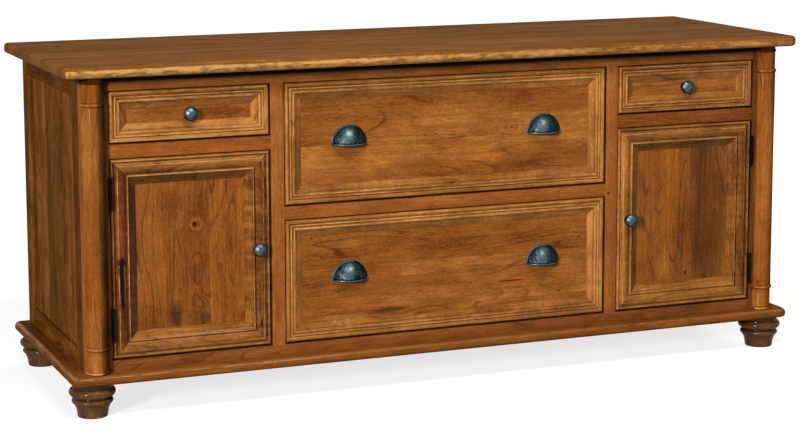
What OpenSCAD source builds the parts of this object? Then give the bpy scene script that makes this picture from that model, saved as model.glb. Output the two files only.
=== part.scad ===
// Office credenza with two file drawers, two small drawers and two doors.
// Millimetres. The origin is on the floor under the middle of the worktop,
// the front faces -Y and +Z is up.

/* [Worktop] */
// Width of the worktop, left to right
top_w = 1829; // [1500:1:2100]
// Depth of the worktop, front to back
top_d = 610; // [560:1:700]
// Thickness of the worktop
top_t = 25; // [20:0.5:36]
// Overhang of the worktop past the case, at the front and the sides
top_over = 39; // [36:0.5:55]
// Radius of the worktop's front corners, seen from above
top_corner_r = 13; // [10:0.5:30]
// Rounding of the worktop's front and side edges
top_edge_r = 8; // [3:0.5:9.5]

/* [Case] */
// Height of the case, from the base board to the worktop
case_h = 660; // [600:1:760]
// Thickness of the partitions, floor, shelves and stretchers
board_t = 18; // [15:0.5:20]
// Thickness of the deck under each small drawer
deck_t = 15; // [12:0.5:20]
// Thickness of the back panel
back_t = 6; // [4:0.5:12]
// Width of the two stretchers under the worktop
stretcher_w = 80; // [50:1:120]
// Line left between two glued members of one frame or box
glue_line = 0.1; // [0.05:0.05:0.2]

/* [Face frame] */
// Thickness of the face frame and of the fronts that close it
face_t = 20; // [18:0.5:25]
// Width of the corner stiles
outer_stile_w = 62.5; // [58:0.5:80]
// Width of the two mullions
mullion_w = 34; // [30:0.5:60]
// Width of the middle opening, for the file drawers
center_open_w = 815; // [700:1:900]
// Height of the top rail
top_rail_w = 33; // [28:0.5:60]
// Height of the bottom rail
bottom_rail_w = 26; // [21:0.5:60]
// Height of the rail over each door
mid_rail_w = 33; // [25:0.5:60]
// Height of the rail between the two file drawers
center_rail_w = 32.5; // [25:0.5:60]
// Height of the small drawers' openings
small_open_h = 117; // [110:0.5:150]
// Height of the upper file drawer's opening
upper_open_h = 282; // [270:0.5:300]

/* [Sides] */
// Thickness of the side frames
side_t = 20; // [18:0.5:25]
// Width of the side frames' front stiles, behind the face frame
side_front_w = 60; // [50:1:100]
// Width of the side frames' back stiles
side_back_w = 52; // [45:1:100]
// Height of the side frames' top rails
side_top_w = 50; // [40:1:90]
// Height of the side frames' bottom rails
side_bottom_w = 40; // [30:1:90]
// Thickness of the side panels
side_panel_t = 7; // [5:0.5:8]
// Depth of the side panels behind the face of their frames
side_panel_in = 8; // [4:0.5:9]
// Depth of the grooves that hold the side panels
side_tongue = 9; // [6:0.5:14]

/* [Base] */
// Thickness of the base board
plinth_t = 22; // [18:0.5:30]
// Reach of the base board past the case, at the front and the sides
plinth_over = 36.5; // [31:0.5:40]
// Height of the thin step on top of the base board
plinth_step_h = 4; // [2:0.5:6]
// Width of the thin step on top of the base board
plinth_step_in = 4; // [2:0.5:8]
// Radius of the base board's front corners, seen from above
plinth_corner_r = 16; // [14:0.5:30]
// Rounding of the base board's front and side edges
plinth_edge_r = 7.5; // [3:0.5:8]

/* [Feet] */
// Height of the turned feet
foot_h = 78; // [70:1:120]
// Radius of the foot's large bead
foot_r = 52.3; // [46:0.1:60]
// Radius of the foot's small bead
foot_bead_r = 46.4; // [42:0.1:54]
// Radius of the foot where it meets the floor
foot_toe_r = 33.6; // [26:0.1:40]
// Radius of the foot's neck, between the toe and the small bead
foot_neck_r = 38.5; // [30:0.1:41]
// Height of the neck over the floor
foot_neck_z = 25; // [15:1:28]
// Height of the middle of the small bead over the floor
foot_bead_z = 37; // [34:0.5:40]
// Height of the middle of the large bead over the floor
foot_big_z = 57; // [52:0.5:60]
// Distance of a foot's centre from the base board's front and side edges
foot_in = 54; // [52.5:0.5:90]
// Distance of a back foot's centre from the back
foot_back_in = 52.5; // [52.5:0.5:90]

/* [Corner columns] */
// Radius of the column's shaft
column_r = 26; // [18:0.5:27]
// Radius of the column's ring beads
ring_r = 28.5; // [22:0.5:30]
// Height of a ring bead
ring_h = 9; // [6:0.5:14]
// Distance of the column's axis from the corner of the case
column_in = 28; // [27:0.5:32]
// Distance of the upper ring bead below the worktop
ring_top = 60; // [40:1:120]
// Distance of the lower ring bead above the base board
ring_bottom = 57; // [40:1:120]
// Radius of the column's two end lengths, past the ring beads
column_end_r = 25; // [17:0.5:26]
// Radius of the column's foot ring
base_ring_r = 29.5; // [22:0.5:31]
// Height of the column's foot and cap rings
end_ring_h = 7; // [4:0.5:12]

/* [Fronts] */
// Gap round each door and drawer front
front_gap = 2.25; // [1.5:0.05:3]
// Width of the drawer fronts' moulded frames
drawer_mould_w = 38; // [36:0.5:45]
// Depth of the drawer fronts' panels behind the face
drawer_panel_in = 10; // [8:0.5:13]
// Width of the doors' moulded frames
door_mould_w = 58; // [57:0.5:70]
// Depth of the doors' panels behind the face
door_panel_in = 12; // [10:0.5:14]
// Width of the rebate that holds a front's panel from behind
panel_lap = 8; // [5:0.5:9]
// Room for a panel to move in its frame, each way
panel_play = 0.5; // [0.2:0.1:1]
// Radius of the beads along a front's outer edge
edge_bead_r = 3.5; // [2.5:0.1:3.8]
// Height by which the doors' wide roll stands proud of the face
roll_proud = 1.5; // [0.5:0.1:2.5]

/* [Drawer boxes] */
// Thickness of the boxes' sides, front and back
box_t = 12; // [10:0.5:16]
// Thickness of the boxes' bottoms
box_bottom_t = 6; // [4:0.5:9]
// Height of a box's bottom board above the lower edge of its sides
box_bottom_up = 8; // [6:0.5:12]
// Depth of the grooves that hold the bottom boards
box_groove = 5; // [3:0.5:6]
// Room between the boxes and the back panel
box_behind = 45; // [20:1:90]
// Room under a small drawer's box
small_low = 10; // [8:0.5:16]
// Room over a small drawer's box
small_high = 15; // [10:0.5:25]
// Room under a file drawer's box
file_low = 12; // [8:0.5:20]
// Room over a file drawer's box
file_high = 28; // [15:0.5:35]
// Thickness of the hanging-file rails
rail_t = 3; // [2:0.5:5]
// Height of the hanging-file rails
rail_h = 14; // [10:0.5:25]
// Distance of the front rail from the box's front board
rail_front = 20; // [10:1:60]
// Distance between the two rails, for letter-size folders
rail_span = 318; // [300:1:330]

/* [Slides] */
// Room for a slide on each side of a box
slide_w = 13; // [12.5:0.1:15]
// Height of the slides
slide_h = 45; // [40:0.5:52]
// Thickness of the slides' sheet steel
slide_sheet = 1.2; // [1:0.1:1.5]
// Play between two members of a slide
slide_play = 0.3; // [0.2:0.05:0.4]
// Reach of the cabinet member's flanges
slide_reach = 10; // [8:0.1:10.5]
// Distance of the small drawers' slides' ends from the backs of the boxes
small_slide_in = 47; // [10:1:90]
// Distance of the file drawers' slides' ends from the backs of the boxes
file_slide_in = 7; // [5:1:60]
// Distance of the slides behind the face frame
slide_start = 3; // [1:0.5:6]
// Height of the blocks that carry the small drawers' slides
block_h = 55; // [52:1:70]

/* [Door hardware] */
// Length of the hinges
hinge_len = 70; // [50:1:90]
// Thickness of a hinge leaf
leaf_t = 2; // [1.5:0.1:2.5]
// Radius of the hinge knuckles
knuckle_r = 4; // [3.5:0.1:4.2]
// Radius of the hinge pins
hinge_pin_r = 2.2; // [1.5:0.1:2.5]
// Radial play of the pins in the knuckles
pin_play = 0.05; // [0.02:0.01:0.08]
// Play between neighbouring knuckles
knuckle_gap = 0.3; // [0.2:0.05:0.6]
// Distance of the hinge axis in front of the face
hinge_out = 4.5; // [4.4:0.1:5]
// Distance of the upper hinge's centre below the door opening's top
hinge_top_in = 76; // [60:1:120]
// Distance of the lower hinge's centre above the door opening's bottom
hinge_bottom_in = 79; // [60:1:120]
// Radius of the hinge pins' button ends
pin_button_r = 3.4; // [3:0.1:3.8]
// Width of a magnetic catch
catch_w = 40; // [30:1:50]
// Depth of a magnetic catch, front to back
catch_d = 16; // [12:1:25]
// Reach of a magnetic catch below the top of the door opening
catch_drop = 18; // [14:1:26]
// Distance of the catch from the mullion
catch_in = 12; // [5:1:40]
// Thickness of the strike plates
strike_t = 1.2; // [0.8:0.1:2]

/* [Shelves] */
// Height of the adjustable shelves over the case floor
shelf_up = 234; // [150:1:300]
// Clearance of a shelf at each end
shelf_play = 0.8; // [0.5:0.1:2]
// Distance of a shelf behind the face frame
shelf_back = 10; // [5:1:60]
// Radius of the shelf pins
shelf_pin_r = 2.5; // [2:0.1:3.5]
// Length of the shelf pins
shelf_pin_len = 16; // [12:0.5:18]

/* [Knobs and pulls] */
// Diameter of the knobs
knob_d = 31; // [24:0.5:36]
// Reach of the knobs from their seat
knob_out = 28; // [24:0.5:32]
// Radius of the knobs' rosettes
rosette_r = 13.5; // [10:0.5:14]
// Thickness of the knobs' rosettes
rosette_t = 3; // [2:0.5:4]
// Radius of the knobs' stems
knob_stem_r = 6; // [4.5:0.5:8]
// Radius of the knob screws
screw_r = 2; // [1.5:0.1:2.5]
// Clearance of the knob screws in their holes
screw_play = 0.2; // [0.1:0.05:0.4]
// Width of the cup pulls
pull_w = 87; // [70:0.5:110]
// Height of the cup pulls
pull_h = 40; // [32:0.5:50]
// Reach of the cup pulls from the panel
pull_out = 24; // [18:0.5:28]
// Wall of the cup pulls
pull_wall = 2.2; // [1.5:0.1:3]
// Width of the thin flange round a cup pull
pull_flange = 2.5; // [1:0.1:4]
// Thickness of the thin flange round a cup pull
pull_flange_t = 1.4; // [1:0.1:2.5]
// Distance of the cup pulls from the middle of a file drawer
pull_x = 247; // [180:1:280]
// Distance of a cup pull's lower edge below the drawer's middle
pull_drop = 2.6; // [0:0.1:20]

/* [Hidden] */
$fn = 64;
eps = 0.01;
left = -1;
right = 1;
upper = 1;
lower = 0;

// Places along X, as distances from the middle
case_half = top_w / 2 - top_over;
inner_half = case_half - side_t;
open_out = case_half - outer_stile_w;
center_half = center_open_w / 2;
partition_out = center_half + board_t;
open_in = center_half + mullion_w;
side_open_w = open_out - open_in;
side_mid = (open_out + open_in) / 2;
hinge_x = open_out - front_gap / 2;

// Places along Y
back_y = top_d / 2;
face_y = top_over - top_d / 2;
face_back = face_y + face_t;
back_in = back_y - back_t;
hinge_y = face_y - hinge_out;
slide_y = face_back + slide_start;
box_len = back_in - box_behind - face_back;
small_slide_len = box_len - slide_start - small_slide_in;
file_slide_len = box_len - slide_start - file_slide_in;
rail_y = face_back + box_t + rail_front;

// Places along Z
plinth_z = foot_h;
case_z = foot_h + plinth_t;
top_z = case_z + case_h;
open_top = top_z - top_rail_w;
open_bottom = case_z + bottom_rail_w;
small_bottom = open_top - small_open_h;
door_top = small_bottom - mid_rail_w;
door_h = door_top - open_bottom;
door_mid = (door_top + open_bottom) / 2;
upper_bottom = open_top - upper_open_h;
lower_top = upper_bottom - center_rail_w;
small_mid = (open_top + small_bottom) / 2;
shelf_z = open_bottom + shelf_up;
hinge_zs = [door_top - hinge_top_in, open_bottom + hinge_bottom_in];

// Places that come from the sizes of the fronts and the hardware
knob_door_x = open_in + front_gap + door_mould_w / 2;
shelf_pin_y = [face_back + side_front_w / 2, (back_y - side_back_w + back_in) / 2];
shelf_d = back_in - shelf_back - face_back - shelf_back;
pin_hole_d = shelf_pin_len / 2;
catch_x = open_in + catch_in + catch_w / 2;
knuckle_n = 5;
knuckle_len = hinge_len / knuckle_n;
screw_head_r = 4;
screw_head_t = 2.5;
knob_bore = knob_out - 13;

// Radius of a cup pull's front about its upright axis, and of the ball that its wall follows
pull_reach = (pull_w * pull_w / 4 + pull_out * pull_out) / (2 * pull_out);
pull_ball_r = (pull_out * pull_out + pull_h * pull_h) / (2 * pull_out);

// Places of the small drawers' boxes and slides
small_box_z = small_bottom + small_low;
small_box_h = small_open_h - small_low - small_high;
small_slide_z = small_box_z + small_box_h / 2;

// Half heights and depths of the slides' members, each inside the one before
cabinet_half_h = slide_h / 2;
second_half_h = cabinet_half_h - slide_sheet - slide_play;
third_half_h = second_half_h - slide_sheet - slide_play;
second_a0 = slide_sheet + slide_play;
second_a1 = slide_w - slide_sheet - 2 * slide_play;
third_a1 = second_a0 + slide_sheet + slide_play;

wood = [0.60, 0.37, 0.16];
wood_light = [0.68, 0.45, 0.22];
wood_dark = [0.45, 0.26, 0.11];
plywood = [0.76, 0.62, 0.42];
pewter = [0.28, 0.36, 0.38];
iron = [0.07, 0.07, 0.07];
zinc = [0.62, 0.64, 0.66];

// Draws what is modelled on the left again on the right
module on_side(side) {
  if (side == right) mirror([1, 0, 0]) children();
  else children();
}

// A box between two opposite corners
module block(low, high) {
  translate(low) cube(high - low);
}

// Outline of a slab's edge: r is how far it reaches, e rounds its two outer corners
module edge_outline(r, t, e) {
  square([r - e, t]);
  translate([0, e]) square([r, t - 2 * e]);
  intersection() {
    for (y = [e, t - e]) translate([r - e, y]) circle(e);
    translate([0, -1]) square([r + 1, t + 2]);
  }
}

// A slab with rounded front and side edges, rounded front corners and a square back
module edged_slab(w, y0, y1, z0, t, corner_r, e) {
  x = w / 2 - corner_r;
  y = y0 + corner_r;
  block([-x, y, z0], [x, y1, z0 + t]);
  translate([-x, y, z0]) rotate([0, 0, 180]) rotate_extrude(angle = 90) edge_outline(corner_r, t, e);
  translate([x, y, z0]) rotate([0, 0, 270]) rotate_extrude(angle = 90) edge_outline(corner_r, t, e);
  translate([x, y, z0]) rotate([90, 0, -90]) linear_extrude(2 * x) edge_outline(corner_r, t, e);
  translate([-x, y, z0]) rotate([90, 0, 180]) linear_extrude(y1 - y) edge_outline(corner_r, t, e);
  translate([x, y1, z0]) rotate([90, 0, 0]) linear_extrude(y1 - y) edge_outline(corner_r, t, e);
}

module worktop() color(wood) {
  edged_slab(top_w, -top_d / 2, back_y, top_z, top_t, top_corner_r, top_edge_r);
}

module base_board() color(wood) {
  reach = case_half + plinth_over;
  lower_t = plinth_t - plinth_step_h;
  edge_r = min(plinth_edge_r, lower_t / 2 - 0.5);
  edged_slab(2 * reach, face_y - plinth_over, back_y, plinth_z, lower_t, plinth_corner_r, edge_r);
  edged_slab(2 * (reach - plinth_step_in), face_y - plinth_over + plinth_step_in, back_y,
    plinth_z + lower_t, plinth_step_h, plinth_corner_r - plinth_step_in, plinth_step_h / 4);
}

// Half outline of a turned foot, from its axis outwards
module foot_outline() {
  toe_chamfer = 1.5;
  toe_z = 10;
  small_bead = 6.5;
  big_bead = 9.5;
  collar_r = foot_r - 8;
  notch_r = foot_bead_r - 4;
  skirt_z = foot_bead_z - 5;
  polygon([
    [0, 0], [foot_toe_r - toe_chamfer, 0], [foot_toe_r, toe_chamfer], [foot_toe_r + 1, toe_z],
    [foot_neck_r, foot_neck_z], [notch_r, skirt_z], [0, skirt_z]
  ]);
  translate([0, skirt_z]) square([notch_r, foot_big_z - skirt_z]);
  translate([foot_bead_r - small_bead, foot_bead_z]) circle(small_bead);
  translate([foot_r - big_bead, foot_big_z]) circle(big_bead);
  translate([0, foot_big_z]) square([collar_r, foot_h - foot_big_z]);
}

module feet() color(wood_dark) {
  x = case_half + plinth_over - foot_in;
  for (sx = [-x, x], y = [face_y - plinth_over + foot_in, back_y - foot_back_in])
    translate([sx, y, 0]) rotate_extrude() foot_outline();
}

// Half outline of a corner column, with its rings
module column_outline() {
  low_ring = ring_bottom;
  high_ring = case_h - ring_top;
  cap_proud = 1.5;
  square([column_end_r, case_h]);
  translate([0, low_ring]) square([column_r, high_ring - low_ring]);
  square([base_ring_r, end_ring_h]);
  translate([0, case_h - 2 * end_ring_h]) square([column_r + cap_proud, end_ring_h]);
  for (z = [low_ring, high_ring]) {
    translate([0, z - ring_h / 2]) square([ring_r - ring_h / 2, ring_h]);
    translate([ring_r - ring_h / 2, z]) circle(ring_h / 2);
  }
}

module column(side) color(wood_light) on_side(side) {
  translate([column_in - case_half, face_y, case_z])
    rotate([0, 0, 180]) rotate_extrude(angle = 180) column_outline();
}

// Room for one hinge leaf in the edge of the opening or of the door
module leaf_mortises(x0) {
  for (z = hinge_zs)
    translate([x0, face_y - 1, z - hinge_len / 2]) cube([leaf_t, face_t + 1 + eps, hinge_len]);
}

module corner_stiles() color(wood) {
  for (side = [left, right]) on_side(side) difference() {
    block([-case_half, face_y, case_z], [-open_out, face_back, top_z]);
    leaf_mortises(-open_out - leaf_t);
  }
}

module mullions() color(wood) {
  for (side = [left, right]) on_side(side)
    block([-open_in, face_y, open_bottom], [-center_half, face_back, open_top]);
}

module top_rail() color(wood)
  block([-open_out, face_y, open_top], [open_out, face_back, top_z]);

module bottom_rail() color(wood)
  block([-open_out, face_y, case_z], [open_out, face_back, open_bottom]);

module door_head_rails() color(wood) {
  for (side = [left, right]) on_side(side)
    block([-open_out, face_y, door_top], [-open_in, face_back, small_bottom]);
}

module center_rail() color(wood)
  block([-center_half, face_y, lower_top], [center_half, face_back, upper_bottom]);

// A side panel, with its edges in the grooves of its frame; grown makes room round it
module side_panel_block(grown) {
  x0 = side_panel_in - case_half;
  y0 = face_back + side_front_w - side_tongue;
  y1 = back_y - side_back_w + side_tongue;
  z0 = case_z + side_bottom_w - side_tongue;
  z1 = top_z - side_top_w + side_tongue;
  block([x0, y0 - grown, z0 - grown], [x0 + side_panel_t, y1 + grown, z1 + grown]);
}

module side_frame(side) color(wood) on_side(side) {
  y0 = face_back + side_front_w;
  y1 = back_y - side_back_w;
  difference() {
    union() {
      block([-case_half, face_back, case_z], [-inner_half, y0, top_z]);
      block([-case_half, y1, case_z], [-inner_half, back_y, top_z]);
      block([-case_half, y0 + glue_line, case_z], [-inner_half, y1 - glue_line, case_z + side_bottom_w]);
      block([-case_half, y0 + glue_line, top_z - side_top_w], [-inner_half, y1 - glue_line, top_z]);
    }
    side_panel_block(panel_play);
    shelf_pin_holes();
  }
}

module side_panel(side) color(wood) on_side(side) side_panel_block(0);

module partition(side) color(plywood) on_side(side) difference() {
  block([-partition_out, face_back, open_bottom], [-center_half, back_in, top_z - board_t]);
  shelf_pin_holes();
}

module back_panel() color(plywood)
  block([-inner_half, back_in, case_z], [inner_half, back_y, top_z]);

module case_floor() color(plywood)
  block([-inner_half, face_back, open_bottom - board_t], [inner_half, back_in, open_bottom]);

module drawer_decks() color(plywood) {
  for (side = [left, right]) on_side(side)
    block([-inner_half, face_back, small_bottom - deck_t], [-partition_out, back_in, small_bottom]);
}

module adjustable_shelves() color(plywood) {
  y0 = face_back + shelf_back;
  for (side = [left, right]) on_side(side)
    block([shelf_play - inner_half, y0, shelf_z],
      [-partition_out - shelf_play, y0 + shelf_d, shelf_z + board_t]);
}

// The pins of one shelf; each reaches from its hole into the compartment, under the shelf
module shelf_pin_row(r, len) {
  for (y = shelf_pin_y) {
    translate([-inner_half - pin_hole_d, y, shelf_z - shelf_pin_r])
      rotate([0, 90, 0]) cylinder(r = r, h = len);
    translate([pin_hole_d - partition_out - len, y, shelf_z - shelf_pin_r])
      rotate([0, 90, 0]) cylinder(r = r, h = len);
  }
}

module shelf_pin_holes() shelf_pin_row(shelf_pin_r + pin_play, shelf_pin_len);

module shelf_pins() color(zinc) {
  for (side = [left, right]) on_side(side) shelf_pin_row(shelf_pin_r, shelf_pin_len);
}

module top_stretchers() color(plywood) {
  for (y = [face_back, back_in - stretcher_w])
    block([-inner_half, y, top_z - board_t], [inner_half, y + stretcher_w, top_z]);
}

module slide_blocks() color(plywood) {
  z0 = small_slide_z - block_h / 2;
  for (side = [left, right]) on_side(side) {
    block([-inner_half, face_back, z0], [-open_out, back_in, z0 + block_h]);
    block([-open_in, face_back, z0], [-partition_out, back_in, z0 + block_h]);
  }
}

// One leaf with its knuckles; first is the lowest knuckle that it has, and the leaf lies at x0
module hinge_leaf(x0, first) {
  z0 = -hinge_len / 2;
  difference() {
    union() {
      translate([x0, face_y - hinge_y, z0]) cube([leaf_t, face_t, hinge_len]);
      for (i = [first : 2 : knuckle_n - 1]) {
        z = z0 + i * knuckle_len + knuckle_gap / 2;
        h = knuckle_len - knuckle_gap;
        translate([0, 0, z]) cylinder(r = knuckle_r, h = h);
        translate([x0, 0, z]) cube([leaf_t, hinge_out + 1, h]);
      }
    }
    translate([0, 0, z0 - 1]) cylinder(r = hinge_pin_r + pin_play, h = hinge_len + 2);
  }
}

module at_hinges() {
  for (z = hinge_zs) translate([-hinge_x, hinge_y, z]) children();
}

module hinge_frame_leaves() color(iron) {
  for (side = [left, right]) on_side(side) at_hinges() hinge_leaf(-front_gap / 2 - leaf_t, 0);
}

module hinge_pins() color(iron) {
  for (side = [left, right]) on_side(side) at_hinges() {
    translate([0, 0, -hinge_len / 2 - 1]) cylinder(r = hinge_pin_r, h = hinge_len + 2);
    for (z = [-hinge_len / 2 - 3, hinge_len / 2 + eps])
      translate([0, 0, z]) cylinder(r = pin_button_r, h = 3 - eps);
  }
}

// The leaf that rides on a door and the catch's strike plate on the door's back
module door_fittings(side) color(iron) on_side(side) {
  strike_w = catch_w - 8;
  strike_h = 13;
  z1 = door_top - front_gap - 2;
  at_hinges() hinge_leaf(front_gap / 2, 1);
  block([-catch_x - strike_w / 2, face_back, z1 - strike_h],
    [-catch_x + strike_w / 2, face_back + strike_t, z1]);
}

module magnetic_catches() color(iron) {
  y0 = face_back + strike_t + slide_play;
  for (side = [left, right]) on_side(side)
    block([-catch_x - catch_w / 2, y0, door_top - catch_drop],
      [-catch_x + catch_w / 2, y0 + catch_d, small_bottom - deck_t]);
}

// Section of a drawer front's moulding, as [depth, distance from the outer edge]
module drawer_section() {
  w = drawer_mould_w;
  r = edge_bead_r;
  bead_r = 3.25;
  bead_in = 3.9;
  bead_0 = 2 * r + 1.5;
  bead_1 = bead_0 + 2 * bead_r;
  groove_in = 4.5;
  quirk_in = 5.5;
  shoulder_in = 2.5;
  shoulder_0 = bead_1 + 2.5;
  polygon([
    [face_t, 0], [r, 0], [r, 2 * r], [groove_in, 2 * r], [groove_in, bead_0], [bead_in, bead_0],
    [bead_in, bead_1], [quirk_in, bead_1], [quirk_in, shoulder_0 - 0.5],
    [shoulder_in, shoulder_0], [shoulder_in, shoulder_0 + 2],
    [drawer_panel_in - 3, w - 8], [drawer_panel_in - 1.5, w - 3], [drawer_panel_in - 1.2, w],
    [drawer_panel_in, w], [drawer_panel_in, w - panel_lap], [face_t, w - panel_lap]
  ]);
  translate([r, r]) circle(r);
  translate([bead_in, bead_0 + bead_r]) circle(bead_r);
}

// Section of a door's moulding, as [depth, distance from the outer edge]
module door_section() {
  w = door_mould_w;
  r = edge_bead_r;
  roll_0 = 2 * r + 1.5;
  roll_w = 24.5;
  roll_1 = roll_0 + roll_w;
  roll_in = 3;
  rise = roll_proud + roll_in;
  roll_r = (roll_w * roll_w / 4 + rise * rise) / (2 * rise);
  bead_r = 3.25;
  bead_in = bead_r + 1;
  bead_0 = roll_1 + 1;
  bead_1 = bead_0 + 2 * bead_r;
  groove_in = 4.5;
  quirk_in = 6;
  shoulder_in = 3.4;
  shoulder_0 = bead_1 + 2;
  polygon([
    [face_t, 0], [r, 0], [r, 2 * r], [groove_in, 2 * r], [groove_in, roll_0], [roll_in + 0.5, roll_0],
    [roll_in + 0.5, roll_1], [roll_in + 1, roll_1], [roll_in + 1, bead_0], [bead_in, bead_0],
    [bead_in, bead_1], [quirk_in, bead_1], [quirk_in, shoulder_0 - 0.5],
    [shoulder_in, shoulder_0], [shoulder_in, shoulder_0 + 1.5],
    [door_panel_in - 2.5, w - 3.5], [door_panel_in - 1.5, w],
    [door_panel_in, w], [door_panel_in, w - panel_lap], [face_t, w - panel_lap]
  ]);
  translate([r, r]) circle(r);
  translate([bead_in, bead_0 + bead_r]) circle(bead_r);
  intersection() {
    translate([roll_r - roll_proud, roll_0 + roll_w / 2]) circle(roll_r);
    translate([-roll_proud - 1, roll_0]) square([rise + 2, roll_w]);
  }
}

// One member of a mitred frame: len is its outer edge, off its distance from the middle
module mitred_member(len, off, w) {
  cut = glue_line * 0.71;
  translate([0, 0, -off]) intersection() {
    translate([-len / 2, 0, 0]) rotate([90, 0, 90]) linear_extrude(len) children();
    translate([0, face_t + 1, 0]) rotate([90, 0, 0]) linear_extrude(face_t + 6)
      polygon([[cut - len / 2, 0], [len / 2 - cut, 0], [len / 2 - w - cut, w], [w + cut - len / 2, w]]);
  }
}

// A mitred frame of four members round the point [x, face_y, z]; its section is the child
module mitred_frame(x, z, w, h, mould_w) {
  translate([x, face_y, z]) {
    mitred_member(w, h / 2, mould_w) children();
    rotate([0, 180, 0]) mitred_member(w, h / 2, mould_w) children();
    rotate([0, 90, 0]) mitred_member(h, w / 2, mould_w) children();
    rotate([0, -90, 0]) mitred_member(h, w / 2, mould_w) children();
  }
}

// The panel that such a frame holds from behind
module framed_panel(x, z, w, h, mould_w, panel_in) {
  half_w = w / 2 - mould_w + panel_lap - panel_play;
  half_h = h / 2 - mould_w + panel_lap - panel_play;
  block([x - half_w, face_y + panel_in, z - half_h], [x + half_w, face_back, z + half_h]);
}

module door_frame(side) color(wood_light) on_side(side) difference() {
  mitred_frame(-side_mid, door_mid, side_open_w - 2 * front_gap, door_h - 2 * front_gap, door_mould_w)
    door_section();
  leaf_mortises(front_gap - open_out);
  translate([-knob_door_x, face_y, door_mid]) rotate([90, 0, 0]) cylinder(r = rosette_r + screw_play, h = 10);
  screw_hole(-knob_door_x, door_mid);
}

module door_panel(side) color(wood) on_side(side)
  framed_panel(-side_mid, door_mid, side_open_w - 2 * front_gap, door_h - 2 * front_gap,
    door_mould_w, door_panel_in);

module small_drawer_frame(side) color(wood_light) on_side(side)
  mitred_frame(-side_mid, small_mid, side_open_w - 2 * front_gap, small_open_h - 2 * front_gap,
    drawer_mould_w) drawer_section();

module small_drawer_panel(side) color(wood) on_side(side) difference() {
  framed_panel(-side_mid, small_mid, side_open_w - 2 * front_gap, small_open_h - 2 * front_gap,
    drawer_mould_w, drawer_panel_in);
  screw_hole(-side_mid, small_mid);
}

// Height and middle of a file drawer's opening
function file_h(which) = which == upper ? upper_open_h : lower_top - open_bottom;
function file_z(which) = which == upper ? upper_bottom : open_bottom;
function file_mid(which) = file_z(which) + file_h(which) / 2;

module file_frame(which) color(wood_light)
  mitred_frame(0, file_mid(which), center_open_w - 2 * front_gap, file_h(which) - 2 * front_gap,
    drawer_mould_w) drawer_section();

module file_panel(which) color(wood)
  framed_panel(0, file_mid(which), center_open_w - 2 * front_gap, file_h(which) - 2 * front_gap,
    drawer_mould_w, drawer_panel_in);

// A knob screw's hole through a front, and through the box behind it
module screw_hole(x, z) {
  translate([x, face_back + box_t + 1, z]) rotate([90, 0, 0])
    cylinder(r = screw_r + screw_play, h = face_t + box_t + 2);
}

// Half outline of a knob, standing up from its seat
module knob_outline() {
  dome_r = knob_d / 2;
  rim = 5;
  rim_z = knob_out - 9;
  cap_h = 7;
  cap_r = ((dome_r - 2) * (dome_r - 2) + cap_h * cap_h) / (2 * cap_h);
  difference() {
    union() {
      square([rosette_r - 1, rosette_t]);
      square([rosette_r, rosette_t - 1]);
      polygon([
        [0, rosette_t], [knob_stem_r + 1, rosette_t], [knob_stem_r, rosette_t + 3], [knob_stem_r, rim_z - 8],
        [dome_r - rim, rim_z - 4.6], [dome_r - rim, rim_z], [0, rim_z]
      ]);
      translate([dome_r - rim, rim_z]) circle(rim);
      intersection() {
        translate([0, knob_out - cap_r]) circle(cap_r);
        translate([0, rim_z - 1]) square([dome_r - 1, rim + 8]);
      }
    }
    square([screw_r + screw_play, knob_bore]);
  }
}

// A knob with its screw: seat is the knob's seat, back the face that the screw head pulls on
module knob_set(x, z, seat, back) {
  translate([x, seat, z]) rotate([90, 0, 0]) color(pewter) rotate_extrude() knob_outline();
  translate([x, back + screw_head_t, z]) rotate([90, 0, 0]) color(zinc) {
    cylinder(r = screw_head_r, h = screw_head_t);
    cylinder(r = screw_r, h = screw_head_t + back - seat + knob_bore - 2);
  }
}

module door_knob(side) on_side(side) knob_set(-knob_door_x, door_mid, face_y, face_back);

module drawer_knob(side) on_side(side)
  knob_set(-side_mid, small_mid, face_y + drawer_panel_in, face_back + box_t);

// Section through a cup pull's wall, grown outwards by the flange's width where asked
module pull_section(grown) {
  behind = 6;
  intersection() {
    translate([pull_reach - pull_ball_r, 0]) difference() {
      circle(pull_ball_r + grown, $fn = 128);
      circle(pull_ball_r - pull_wall, $fn = 128);
    }
    translate([pull_reach - pull_out - behind, 0])
      square([pull_out + behind + grown, pull_h + grown + 1]);
  }
}

module cup_pull() {
  behind = pull_reach - pull_out;
  lip_r = 1.7;
  lip_in = 1.2;
  translate([0, behind, 0]) {
    intersection() {
      rotate([0, 0, 180]) rotate_extrude(angle = 180, $fn = 128) {
        pull_section(0);
        translate([pull_reach - lip_in, lip_r]) circle(lip_r);
      }
      block([-pull_w, -pull_reach - 5, 0], [pull_w, -behind, pull_h + 1]);
    }
    intersection() {
      rotate([0, 0, 180]) rotate_extrude(angle = 180, $fn = 128) pull_section(pull_flange);
      block([-pull_w, -behind - pull_flange_t, 0], [pull_w, -behind, pull_h + pull_flange + 1]);
    }
  }
}

module file_pulls(which) color(pewter) {
  for (x = [-pull_x, pull_x])
    translate([x, face_y + drawer_panel_in, file_mid(which) - pull_drop]) cup_pull();
}

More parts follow.
